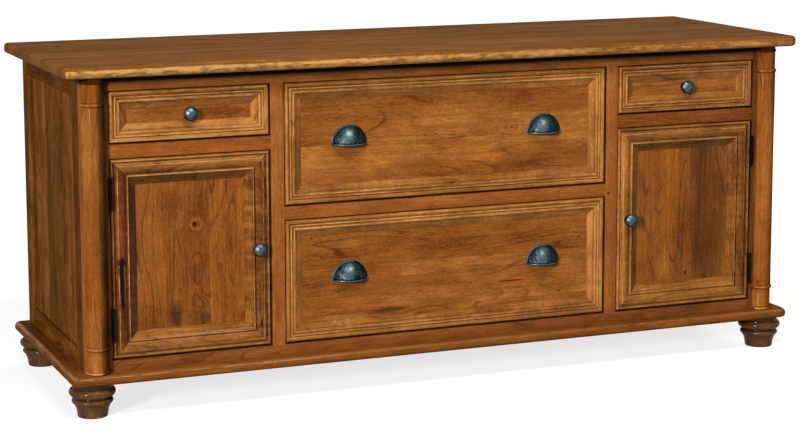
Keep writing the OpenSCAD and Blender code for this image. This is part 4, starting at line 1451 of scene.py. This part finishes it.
@dataclass
class Front:
    """A mitred moulded frame round a recessed panel: a drawer's front or a door."""

    name: str
    body: str
    x: float
    z: float
    width: float
    height: float
    section: Section
    panel_depth: float
    seed: float
    upright: bool = False
    looks: tuple[Point, ...] = ((0.0, 0.0, 0.0),) * 4
    panel_tone: float = 0.0
    # Painted shade on the slopes, most on the top and left members, which face away from the light.
    dusk: tuple[float, float, float, float] = (0.0, 0.22, 0.0, 0.32)
    hold: float = 0.0075

    @staticmethod
    def between(name: str, body: str, xs: Flat, zs: Flat, **rest: object) -> "Front":
        """A front that fills an opening, less the gap round it.

        Args:
            name: the front's name, which its CAD nodes share.
            body: the body it rides on.
            xs: the opening's left and right.
            zs: its bottom and top.
            **rest: the front's other fields.

        Returns:
            The front.
        """
        width, height = (max(v) - min(v) - 2 * CASE.gap for v in (xs, zs))
        return Front(name, body, sum(xs) / 2, sum(zs) / 2, width, height, **rest)

    def member(self, length: float, distance: float, stock: Stock, dusk: float) -> Object:
        """One mitred member, lying along X below the middle.

        Args:
            length: the length of its outer edge.
            distance: how far that edge is from the middle.
            stock: its wood.
            dusk: the painted shade on its slope.

        Returns:
            The new object.
        """
        cut = 0.00005
        points = [
            Vector((-length / 2 + u * MM + cut, depth * MM, -distance + u * MM))
            for u, depth in self.section.points
        ]
        piece = draw(points, True)
        with editing(piece):
            bpy.ops.mesh.extrude_region_move(TRANSFORM_OT_translate={"value": (0, 0, 0)})
            bpy.ops.transform.resize(value=(-1, 1, 1), center_override=(0, 0, 0))
            bpy.ops.mesh.select_all(action="SELECT")
            bpy.ops.mesh.normals_make_consistent(inside=False)
        saw(piece, stock)
        return glaze(piece, lambda v: self.section.amount((v.z + distance) / MM, v.y / MM, dusk))

    def frame(self) -> Object:
        """The four members, in place."""
        made = []
        for i, quarter in enumerate((0, 2, 1, -1)):
            lying = quarter % 2 == 0
            length, across = (self.width, self.height) if lying else (self.height, self.width)
            stock = Stock(Grain.ACROSS_ROOM, self.seed + i * 1.37, *self.looks[i])
            made.append(turn(self.member(length, across / 2, stock, self.dusk[i]), quarter))
        piece = joined(made, self.name + "_moulded_frame")
        return shift(piece, (self.x, CASE.face, self.z))

    def panel(self) -> Object:
        """The panel that the frame holds from behind."""
        reach = self.section.width * MM - self.hold
        half_w, half_h = self.width / 2 - reach, self.height / 2 - reach
        low = (self.x - half_w, CASE.face + self.panel_depth, self.z - half_h)
        high = (self.x + half_w, CASE.face_back, self.z + half_h)
        piece = block(low, high)
        rim(piece, Vector((0, -1, 0)), self.hold, 0.0045)
        grain = Grain.UPRIGHT if self.upright else Grain.ACROSS_ROOM
        return saw(piece, Stock(grain, self.seed + 7.3, self.panel_tone))

    def build(
        self, frame_look: Material, panel_look: Material, cut: Sequence[tuple[Point, Point]] = ()
    ) -> None:
        """Makes both pieces and dresses them.

        Args:
            frame_look: the frame's material.
            panel_look: the panel's material.
            cut: boxes cut out of the frame, such as room for hinge leaves.
        """
        frame, name, body = self.frame(), self.name, self.body
        for low, high in cut:
            combine(frame, block(low, high), "DIFFERENCE")
        dress(frame, name + "_moulded_frame", body, frame_look, [name + "_frame"], 26)
        dress(self.panel(), name + "_board_panel", body, panel_look, [name + "_panel"], 30)


# Knobs and pulls


@dataclass
class Knobs:
    """A round knob on a rosette, and the screw that holds it."""

    rosette_r: float = 11.8
    stem_r: float = 6.4
    rim_r: float = 6.5
    dome_r: float = 16.2
    reach: float = 28.0
    made: Object | None = field(default=None, repr=False)

    def outline(self) -> list[Flat]:
        """The knob's half outline from its seat outwards, in millimetres."""
        cap = 7.0
        flat = self.dome_r - 2
        radius = (flat * flat + cap * cap) / (2 * cap)
        swing = math.degrees(math.asin(10.2 / radius))
        dome = [(r, z) for r, z in arc((0, self.reach - radius), radius, 90 - swing, 90, 8)]
        return [
            (0, 0), (self.rosette_r - 0.3, 0), (self.rosette_r, 0.4), (self.rosette_r, 1.5), (11.1, 2.2),
            (9.6, 2.5), (7.4, 3.4), (6.7, 4.6), (self.stem_r, 6.4), (6.7, 8.0), (7.6, 9.2), (9.0, 10.2),
            *arc((self.dome_r - self.rim_r, self.reach - 10.8), self.rim_r, -78, 55, 14), *dome,
        ]

    def first(self) -> Object:
        """The knob at the origin, facing -Y, made once."""
        if self.made is None:
            knob = lathe(self.outline(), (0, 0, 0), 48)
            turn(knob, 1, "X")
            if sum(v.co.y for v in knob.data.vertices) > 0:
                turn(knob, 2, "X")
            glaze(knob, self.wear)
            self.made = knob
        return self.made

    def wear(self, v: Vector) -> float:
        """Patina dark in the coves; on the rim painted highlight at the upper left and painted shade at the
        lower right; painted highlight on the upper left of the crown.
        """
        radius, out = math.hypot(v.x, v.z) / MM, -v.y / MM
        if out < 14.5 and radius < 11.2:
            return 0.5
        # Painted highlight on the upper left of the rim and painted shade on its lower right.
        if radius > 14.0:
            return -0.3 if v.z - v.x > 0.01 else 0.45
        return -0.2 if out > self.reach - 5 and v.z - v.x > -0.004 else 0.05

    def fit(self, name: str, body: str, node: str, at: Point, back: float) -> None:
        """Fits a knob and its screw.

        Args:
            name: the piece's name.
            body: the body it rides on.
            node: the CAD node that it replaces.
            at: the middle of its seat.
            back: the Y of the face that the screw's head pulls on.
        """
        knob = shift(copy(self.first(), name), at)
        clear()
        x, y, z = at
        length = back - y + 0.010
        bpy.ops.mesh.primitive_cylinder_add(
            vertices=16, radius=0.002, depth=length, location=(x, back - length / 2, z),
            rotation=(math.pi / 2, 0, 0))
        shank = settle(bpy.context.object)
        clear()
        bpy.ops.mesh.primitive_uv_sphere_add(
            segments=24, ring_count=12, radius=0.004, location=(x, back, z), scale=(1, 0.625, 1))
        head = settle(bpy.context.object)
        with editing(head):
            bpy.ops.mesh.bisect(plane_co=(x, back, z), plane_no=(0, 1, 0), clear_inner=True, use_fill=True)
        outward(head)
        slot = block((x - 0.005, back + 0.0016, z - 0.0005), (x + 0.005, back + 0.003, z + 0.0005))
        combine(head, slot, "DIFFERENCE")
        screw = joined([shank, head], name + "_screw")
        dress(knob, name, body, FINISHES["pewter"], [node], 40)
        dress(screw, name + "_screw", body, FINISHES["zinc"], (), 40)


@dataclass
class CupPulls:
    """A cup pull: a shell turned about an axis behind the panel, with a rolled lip and a thin flange."""

    width: float = 85.0
    height: float = 45.0
    reach: float = 26.0
    wall: float = 2.2
    flange: float = 2.0
    flange_t: float = 1.4
    made: Object | None = field(default=None, repr=False)

    def turned(self, outline: Sequence[Flat], behind: float, front: float | None) -> Object:
        """A closed section turned half round, cut off at the panel and, where asked, in front.

        Args:
            outline: the section as (radius, height), in millimetres.
            behind: how far the axis is behind the panel.
            front: the thickness that is kept, or None for all of it.

        Returns:
            The new object, with the panel at Y 0.
        """
        centre = Vector((0, behind * MM, 0))
        points = [Vector((-r * MM, behind * MM, z * MM)) for r, z in outline]
        piece = draw(points, True)
        with editing(piece):
            bpy.ops.mesh.spin(steps=72, angle=math.pi, center=centre, axis=(0, 0, 1))
            bpy.ops.mesh.select_all(action="SELECT")
            bpy.ops.mesh.remove_doubles(threshold=HAIR)
            bpy.ops.mesh.normals_make_consistent(inside=False)
        if sum(v.co.y - centre.y for v in piece.data.vertices) > 0:
            with editing(piece):
                bpy.ops.transform.resize(value=(1, -1, 1), center_override=centre)
                bpy.ops.mesh.flip_normals()
        with editing(piece):
            bpy.ops.mesh.bisect(plane_co=(0, 0, 0), plane_no=(0, 1, 0), clear_outer=True, use_fill=True)
            if front is not None:
                bpy.ops.mesh.select_all(action="SELECT")
                bpy.ops.mesh.bisect(
                    plane_co=(0, -front * MM, 0), plane_no=(0, -1, 0), clear_outer=True, use_fill=True)
        outward(piece)
        return piece

    def first(self) -> Object:
        """The pull with its lower edge at the origin, facing -Y, made once."""
        if self.made is not None:
            return self.made
        ball = (self.reach**2 + self.height**2) / (2 * self.reach)
        turn_r = (self.width**2 / 4 + self.reach**2) / (2 * self.reach)
        behind = turn_r - self.reach
        core = turn_r - ball
        lip = (turn_r - 1.4, 2.2)
        wall = [
            *arc((core, 0), ball, 80, 4.2, 20), *arc(lip, 2.2, 55, -205, 12),
            *arc((core, 0), ball - self.wall, 4.6, 80, 20),
        ]
        shell = self.turned(wall, behind, None)
        ring = [
            *arc((core, 0), ball + self.flange, 80, 0.0, 20),
            *arc((core, 0), ball - self.wall + 0.4, 0.0, 80, 20),
        ]
        plate = self.turned(ring, behind, self.flange_t)
        ease(plate, 0.0005, lambda a, b: a.y < -0.0013 and b.y < -0.0013, 2)
        combine(shell, plate, "UNION")
        glaze(shell, self.wear)
        self.made = shell
        return shell

    def wear(self, v: Vector) -> float:
        """Painted highlight on the lip; patina and painted shade in the crease above it and where the
        flange meets the shell; painted highlight on the flange's left rim and painted shade on the rest of
        it; and across the shell a painted highlight band with painted shade on either side.
        """
        out, up = -v.y / MM, v.z / MM
        if up < 3.2:
            return -0.6
        if up < 5.4:
            return 0.45
        if out < 1.5:
            return -0.9 if out > 0.8 and v.x < 0.01 else 0.3
        if out < 3.6:
            return 0.5
        across = (v.x / MM + 7 - 0.35 * (up - 20)) / 11
        return 0.24 - 0.5 * math.exp(-across * across)

    def fit(self, name: str, body: str, node: str, places: Sequence[Point]) -> None:
        """Fits one drawer's pulls."""
        pulls = [shift(copy(self.first(), name), at) for at in places]
        dress(joined(pulls, name), name, body, FINISHES["pewter"], [node], 40)


FINISHES: dict[str, Material] = {}
KNOBS = Knobs()
PULLS = CupPulls()


# The drawers and doors


@dataclass
class SmallDrawer:
    """A small drawer: its front and its knob."""

    side: Side
    panel_depth: float = 0.010

    def build(self) -> None:
        """Makes the front and the knob."""
        c, label, s = CASE, self.side.label, self.side.value
        darker = 0.14 if self.side is Side.RIGHT else 0.0
        front = Front.between(
            f"{label}_drawer", f"{label}_drawer", (s * c.open_in, s * c.open_out),
            (c.small_bottom, c.open_top), section=drawer_section(), panel_depth=self.panel_depth,
            seed=50.0 + 9 * s,
            looks=tuple((tone + darker, 0.0, 0.1) for tone in (-0.04, 0.05, 0.0, -0.04)),
            panel_tone=0.12 if self.side is Side.LEFT else 0.0)
        front.build(MOULD.material("_" + front.name), PANEL.material("_" + front.name))
        seat, back = (front.x, c.face + self.panel_depth, front.z), c.face_back + 0.012
        KNOBS.fit(f"{label}_drawer_round_knob", front.body, f"{label}_drawer_knob", seat, back)


@dataclass
class Door:
    """A door: its moulded frame, its panel and its knob."""

    side: Side
    panel_depth: float = 0.012
    knob_x: float = 0.47275

    def marks(self) -> list[Mark]:
        """The cracks and marks of the left door's stiles; the right door has none."""
        if self.side is Side.RIGHT:
            return []
        cracks = face_marks(
            CASE.face, 0.02,
            (-0.7895, 0.298, 0.0060, 0.062, "0c0604", 0.95, 1.2, 0.4),
            (-0.7890, 0.345, 0.0120, 0.015, "120a06", 0.95, 1.5, 0.5),
            (-0.7920, 0.325, 0.0070, 0.020, "120a06", 0.85, 1.5, 0.6),
            (-0.7880, 0.252, 0.0070, 0.020, "120a06", 0.9, 1.4, 0.6),
            (-0.7870, 0.225, 0.0080, 0.028, "3a1408", 0.7, 1.0, 0.8),
            (-0.4660, 0.180, 0.0030, 0.011, "0a0504", 0.95, 0.8, 0.5),
            (-0.4665, 0.160, 0.0030, 0.016, "3a1c0c", 0.6, 0.8, 0.9),
        )
        return cracks + face_marks(CASE.face, 0.03, (-0.793, 0.43, 0.016, 0.10, "7a3410", 0.45, 1.2, 0.9))

    def left_panel(self, y: float) -> Material:
        """The left panel's boards, knots, growth rings and smudges, on a face at Y."""
        ring = "4a280e"
        knots = face_knots(
            y,
            (-0.6173, 0.4154, 0.028, 0.036, 0.18, 0.16),
            (-0.6140, 0.317, 0.016, 0.055, 0.0, 0.10),
            (-0.6040, 0.232, 0.026, 0.030, 0.0, 0.10),
            (-0.530, 0.36, 0.020, 0.14, 0.0, 0.12),
        )
        marks = face_marks(
            y, 0.03,
            (-0.665, 0.452, 0.017, 0.062, "5a3414", 0.6, 1.4, 0.8),
            (-0.630, 0.392, 0.044, 0.034, "6e3c16", 0.55, 0.9, 0.8),
            (-0.6140, 0.4175, 0.012, 0.012, "ac6a2e", 0.3, 0.9, 0.9, 0.5),
            (-0.6110, 0.4190, 0.020, 0.022, ring, 0.3, 1.1, 0.7, 0.12),
            (-0.6140, 0.317, 0.015, 0.034, ring, 0.6, 0.6, 0.7, 0.12),
            (-0.6120, 0.307, 0.007, 0.016, ring, 0.3, 0.8, 0.6, 0.18),
            (-0.6045, 0.236, 0.018, 0.012, ring, 0.55, 0.8, 0.7, 0.14),
            (-0.6055, 0.234, 0.009, 0.006, ring, 0.35, 0.8, 0.6, 0.22),
            (-0.530, 0.370, 0.011, 0.095, ring, 0.4, 0.5, 0.7, 0.10),
            (-0.530, 0.350, 0.006, 0.065, ring, 0.35, 0.5, 0.7, 0.16),
            (-0.664, 0.208, 0.027, 0.046, "32200e", 0.8, 1.2, 0.8),
            (-0.6035, 0.202, 0.026, 0.024, "402810", 0.7, 1.2, 0.9),
        )
        return PANEL.material("_left_door", knots, marks, Glued(0.0994, -0.6835, 0.3))

    def right_panel(self, y: float) -> Material:
        """The right panel's boards, knots and smudges, on a face at Y."""
        knots = face_knots(
            y,
            (0.6395, 0.2048, 0.018, 0.030, 0.0, 0.12),
            (0.690, 0.272, 0.018, 0.045, 0.0, 0.12),
            (0.570, 0.45, 0.022, 0.12, 0.0, 0.1),
        )
        marks = face_marks(
            y, 0.03,
            (0.702, 0.34, 0.064, 0.27, "44260e", 0.46, 0.5, 0.6),
            (0.6395, 0.2048, 0.0055, 0.0085, "2e1408", 0.85, 0.7, 0.7),
            (0.6395, 0.2048, 0.0080, 0.0120, "8a4a20", 0.6, 0.5, 0.9, 0.35),
            (0.672, 0.25, 0.018, 0.060, "45260f", 0.5, 1.2, 0.9),
            (0.740, 0.42, 0.016, 0.13, "45260f", 0.45, 1.2, 0.9),
            (0.655, 0.46, 0.010, 0.09, "4b2a11", 0.4, 1.2, 0.9),
            (0.542, 0.30, 0.016, 0.030, "55300f", 0.4, 1.4, 0.9),
        )
        return PANEL.material("_right_door", knots, marks, Glued(0.14, 0.640, 0.35))

    def build(self) -> None:
        """Makes the frame, the panel and the knob."""
        c, label, s = CASE, self.side.label, self.side.value
        looks = ((0.16, 0.0, 0.15), (0.3, 0.0, 0.15), (0.32, 0.05, 0.35), (-0.02, 0.05, 0.25))
        tone, panel = 0.3, self.right_panel
        if self.side is Side.LEFT:
            looks = ((0.18, 0.0, 0.15), (0.22, 0.0, 0.15), (0.36, 0.2, 0.7), (0.54, 0.3, 0.35))
            tone, panel = 0.32, self.left_panel
        front = Front.between(
            f"{label}_door", f"{label}_door", (s * c.open_in, s * c.open_out), (c.open_bottom, c.door_top),
            section=door_section(), panel_depth=self.panel_depth, seed=60.0 + 9 * s, upright=True,
            # Painted shade on the slopes, most on the top and left members.
            looks=looks, panel_tone=tone, dusk=(0.05, 0.55, 0.1, 0.46))
        edge = s * (c.open_out - c.gap)
        low_x, high_x = sorted((edge + s * 0.001, edge - s * 0.002))
        rooms = [
            ((low_x, c.face - 0.003, z - c.hinge_half), (high_x, c.face_back + 0.001, z + c.hinge_half))
            for z in c.hinge_zs
        ]
        stiles = MOULD.material("_" + front.name, marks=self.marks())
        front.build(stiles, panel(c.face + self.panel_depth), rooms)
        seat = (s * self.knob_x, c.face, front.z)
        KNOBS.fit(f"{label}_door_round_knob", front.body, f"{label}_door_knob", seat, c.face_back)


@dataclass
class FileDrawer:
    """A wide file drawer: its front and its two cup pulls."""

    label: str
    bottom: float
    top: float
    panel_depth: float = 0.010
    pull_x: float = 0.247
    pull_drop: float = 0.0100

    def upper_panel(self, y: float) -> Material:
        """The upper panel's boards, knots, growth rings and smudges, on a face at Y."""
        ring = "54300f"
        knots = face_knots(
            y,
            (0.1641, 0.593, 0.060, 0.020, 0.0, 0.2),
            (-0.0462, 0.589, 0.050, 0.012, 0.0, 0.13),
            (0.3286, 0.594, 0.060, 0.030, 0.0, 0.14),
            (-0.20, 0.583, 0.15, 0.014, 0.0, 0.12),
        )
        marks = face_marks(
            y, 0.03,
            (0.154, 0.512, 0.046, 0.026, "6b3c14", 0.5, 1.6, 0.9),
            (-0.05, 0.52, 0.20, 0.016, "7a4818", 0.35, 1.2, 0.9),
            (-0.3356, 0.5524, 0.022, 0.015, "b87a34", 0.5, 1.0, 0.9),
            (0.32, 0.645, 0.10, 0.024, "7a4416", 0.4, 1.2, 0.9),
            (0.1641, 0.593, 0.0055, 0.0045, "3a1c0a", 0.8, 0.9, 0.8),
            (0.1600, 0.593, 0.014, 0.0085, ring, 0.6, 0.6, 0.7, 0.16),
            (0.1520, 0.594, 0.030, 0.0150, ring, 0.4, 0.9, 0.7, 0.10),
            (0.1300, 0.592, 0.070, 0.0220, ring, 0.3, 0.9, 0.7, 0.07),
            (-0.0462, 0.589, 0.014, 0.0045, ring, 0.65, 0.4, 0.7, 0.25),
            (-0.16, 0.5800, 0.20, 0.0090, ring, 0.5, 0.5, 0.7, 0.10),
            (0.2500, 0.5400, 0.11, 0.0140, ring, 0.45, 0.4, 0.7, 0.08),
        )
        return PANEL.material("_upper_file", knots, marks, Glued(0.105, 0.578, 0.25))

    def lower_panel(self, y: float) -> Material:
        """The lower panel's boards, knots, red streak and smudges, on a face at Y."""
        knots = face_knots(
            y,
            (0.0582, 0.2272, 0.034, 0.012, 0.10, 0.14),
            (-0.086, 0.217, 0.060, 0.012, 0.0, 0.13),
            (0.165, 0.2228, 0.060, 0.010, 0.0, 0.12),
            (0.30, 0.21, 0.060, 0.030, 0.0, 0.12),
        )
        marks = face_marks(
            y, 0.03,
            (0.165, 0.2235, 0.060, 0.0068, "a8481c", 0.85, 1.0, 0.7),
            (0.160, 0.2242, 0.044, 0.0024, "3a160a", 0.85, 0.8, 0.5),
            (-0.15, 0.180, 0.075, 0.010, "3a2009", 0.75, 1.6, 0.8),
            (-0.02, 0.190, 0.10, 0.012, "6b3c14", 0.4, 1.5, 0.9),
            (-0.3408, 0.3633, 0.004, 0.005, "3a1a08", 0.8, 0.8, 0.7),
            (-0.1187, 0.3594, 0.010, 0.0025, "3a1a08", 0.7, 1.0, 0.7),
            (0.2907, 0.1883, 0.006, 0.003, "3a1a08", 0.8, 1.0, 0.7),
            (0.3442, 0.3174, 0.007, 0.003, "4a220c", 0.7, 1.0, 0.7),
            (-0.24, 0.345, 0.05, 0.014, "b07030", 0.35, 1.4, 0.9),
        )
        return PANEL.material("_lower_file", knots, marks, Glued(0.11, 0.291, 0.25))

    def build(self) -> None:
        """Makes the front and the pulls."""
        c, face = CASE, CASE.face + self.panel_depth
        front = Front.between(
            f"{self.label}_file", f"{self.label}_file_drawer", (-c.centre, c.centre),
            (self.bottom, self.top), section=drawer_section(), panel_depth=self.panel_depth,
            seed=80.0 + 20 * self.bottom,
            looks=((0.0, 0.0, 0.2), (0.04, 0.0, 0.2), (-0.1, 0.05, 0.1), (0.0, 0.0, 0.1)), panel_tone=0.15)
        panel = self.upper_panel(face) if self.label == "upper" else self.lower_panel(face)
        front.build(MOULD.material("_" + front.name), panel)
        places = [(x, face, front.z - self.pull_drop) for x in (-self.pull_x, self.pull_x)]
        PULLS.fit(f"{self.label}_file_cup_pulls", front.body, f"{self.label}_file_pulls", places)


@dataclass
class Inside:
    """The CAD nodes that stay as they are and get a finish: boards, boxes, slides and hinges."""

    upright: tuple[str, ...] = ("left_partition", "right_partition")
    flat: tuple[str, ...] = ("case_floor", "drawer_decks", "adjustable_shelves", "top_stretchers")
    deep: tuple[str, ...] = ("slide_blocks",)
    iron: tuple[str, ...] = (
        "hinge_frame_leaves", "hinge_pins", "magnetic_catches", "left_door_fittings", "right_door_fittings")
    boxes: tuple[str, ...] = ("left_drawer_box", "right_drawer_box", "upper_file_box", "lower_file_box")
    zinc: tuple[str, ...] = (
        "shelf_pins", "cabinet_slides", "left_drawer_slides", "right_drawer_slides", "upper_file_slides",
        "lower_file_slides", "upper_file_runners", "lower_file_runners")
    rails: tuple[str, ...] = ("upper_file_rails", "lower_file_rails")

    def build(self) -> None:
        """Gives each node its material."""
        looks = (
            (self.upright, PLY.material("_upright", stock=Stock(Grain.UPRIGHT_SIDE, 90))),
            (self.flat, PLY.material("_flat", stock=Stock(Grain.FLAT, 92))),
            (self.deep, PLY.material("_deep", stock=Stock(Grain.FRONT_TO_BACK, 93))),
            (("back_panel",), PLY.material("_back", stock=Stock(Grain.ACROSS_ROOM, 94, 0.05))),
            (self.boxes, BOX.material("_box", stock=Stock(Grain.FRONT_TO_BACK, 95))),
            (self.iron, FINISHES["iron"]),
            (self.zinc, FINISHES["zinc"]),
            (self.rails, FINISHES["aluminium"]),
        )
        for names, material in looks:
            for name in names:
                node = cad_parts[name]
                if not node.data.materials:
                    node.data.materials.append(material)
                for slot in node.material_slots:
                    slot.material = material
                LOG.info("%s: CAD node, %s", name, material.name)


@dataclass
class Studio:
    """The floor, the light and the camera."""

    eye: Point = (-1.9665, -4.7875, 1.2968)
    yaw: float = 22.157
    pitch: float = -8.398
    roll: float = -0.116
    focal_px: float = 2137.7
    shift_px: float = -75.0
    frame_px: float = 800.0
    ambient: float = 0.06
    floor_grey: float = 0.4
    floor_lift: float = 0.76

    def camera(self) -> None:
        """Puts the camera where the photograph was taken from."""
        yaw, pitch, roll = (math.radians(a) for a in (self.yaw, self.pitch, self.roll))
        ahead = Vector((math.sin(yaw) * math.cos(pitch), math.cos(yaw) * math.cos(pitch), math.sin(pitch)))
        right = Vector((math.cos(yaw), -math.sin(yaw), 0))
        up = right.cross(ahead)
        right, up = (
            math.cos(roll) * right + math.sin(roll) * up, math.cos(roll) * up - math.sin(roll) * right)
        data = bpy.data.cameras.new("camera")
        data.sensor_width = 36
        data.lens = self.focal_px / self.frame_px * data.sensor_width
        data.shift_y = self.shift_px / self.frame_px
        data.clip_end = 100
        camera = bpy.data.objects.new("camera", data)
        bpy.context.scene.collection.objects.link(camera)
        turned = Matrix((right, up, -ahead)).transposed().to_4x4()
        camera.matrix_world = Matrix.Translation(self.eye) @ turned
        bpy.context.scene.camera = camera

    def lamp(
        self, name: str, at: Point, target: Point, size: Flat, power: float, colour: str
    ) -> Object:
        """Adds one soft box.

        Args:
            name: its name.
            at: its place.
            target: the point it faces.
            size: its width and height.
            power: its power in watts.
            colour: its colour code.

        Returns:
            The lamp.
        """
        data = bpy.data.lights.new(name, "AREA")
        data.shape = "RECTANGLE"
        data.size, data.size_y = size
        data.energy = power
        data.color = paint(colour)[:3]
        lamp = bpy.data.objects.new(name, data)
        bpy.context.scene.collection.objects.link(lamp)
        lamp.location = at
        lamp.rotation_euler = (Vector(target) - Vector(at)).to_track_quat("-Z", "Y").to_euler()
        return lamp

    def world(self) -> None:
        """A pale surround: white where the camera, gloss and glass see it, and softer as light."""
        world = bpy.data.worlds.new("studio")
        bpy.context.scene.world = world
        world.use_nodes = True
        world.node_tree.nodes.clear()
        sheet = Nodes(world.node_tree)
        seen = sheet.seen()
        soft = sheet.add("Background", {"Color": paint("fffdf8"), "Strength": self.ambient})
        white = sheet.add("Background", {"Color": (1, 1, 1, 1), "Strength": 1.0})
        both = sheet.add("MixShader", {0: seen, 1: soft.outputs[0], 2: white.outputs[0]})
        sheet.add("OutputWorld", {"Surface": both.outputs[0]})

    def floor(self) -> None:
        """A pale floor that keeps the shadow, and turns to plain white away from the object."""
        clear()
        bpy.ops.mesh.primitive_plane_add(size=24, location=(0, 0, 0))
        floor = bpy.context.object
        floor.name = "studio_floor"
        made, sheet, shader = begin("floor_paint")
        shader.inputs["Base Color"].default_value = (self.floor_grey, self.floor_grey, self.floor_grey, 1)
        shader.inputs["Roughness"].default_value = 0.9
        shader.inputs["Specular IOR Level"].default_value = 0.0
        seen = sheet.seen()
        away = sheet.vector("LENGTH", sheet.add("TexCoord").outputs["Object"])
        lift = sheet.span(away, 1.6, 4.5, self.floor_lift, 1.0)
        shader.inputs["Emission Color"].default_value = (1, 1, 1, 1)
        made.node_tree.links.new(sheet.math("MULTIPLY", seen, lift), shader.inputs["Emission Strength"])
        floor.data.materials.append(made)

    def build(self) -> None:
        """Sets up the camera, the surround, the floor and the lamps."""
        self.camera()
        self.world()
        self.floor()
        middle = (0.0, -0.25, 0.45)
        self.lamp("left_box", (-8.61, -8.0, 3.56), middle, (1.8, 1.8), 1450, "fff8ee")
        self.lamp("upper_box", (-0.3, -1.9, 3.0), middle, (2.2, 0.6), 74, "fffaf2")
        behind = self.lamp("back_box", (3.4, 2.6, 1.9), middle, (1.6, 1.2), 110, "fffaf2")
        behind.visible_glossy = False
        settings = bpy.context.scene.view_settings
        settings.view_transform = "Standard"


def main() -> None:
    """Builds the sub-assemblies in order."""
    logging.basicConfig(level=logging.INFO, format="%(message)s")
    for name, metal in (("pewter", PEWTER), ("iron", IRON), ("zinc", ZINC), ("aluminium", ALUMINIUM)):
        FINISHES[name] = metal.material()
    Worktop().build()
    BaseBoard().build()
    Feet().build()
    CornerColumns().build()
    FaceFrame().build()
    for side in Side:
        SideWall(side).build()
        SmallDrawer(side).build()
        Door(side).build()
    FileDrawer("upper", CASE.upper_bottom, CASE.open_top).build()
    FileDrawer("lower", CASE.open_bottom, CASE.lower_top).build()
    Inside().build()
    for made in (KNOBS.made, PULLS.made):
        if made is not None:
            bpy.data.objects.remove(made)
    Studio().build()


if __name__ == "__main__":
    main()
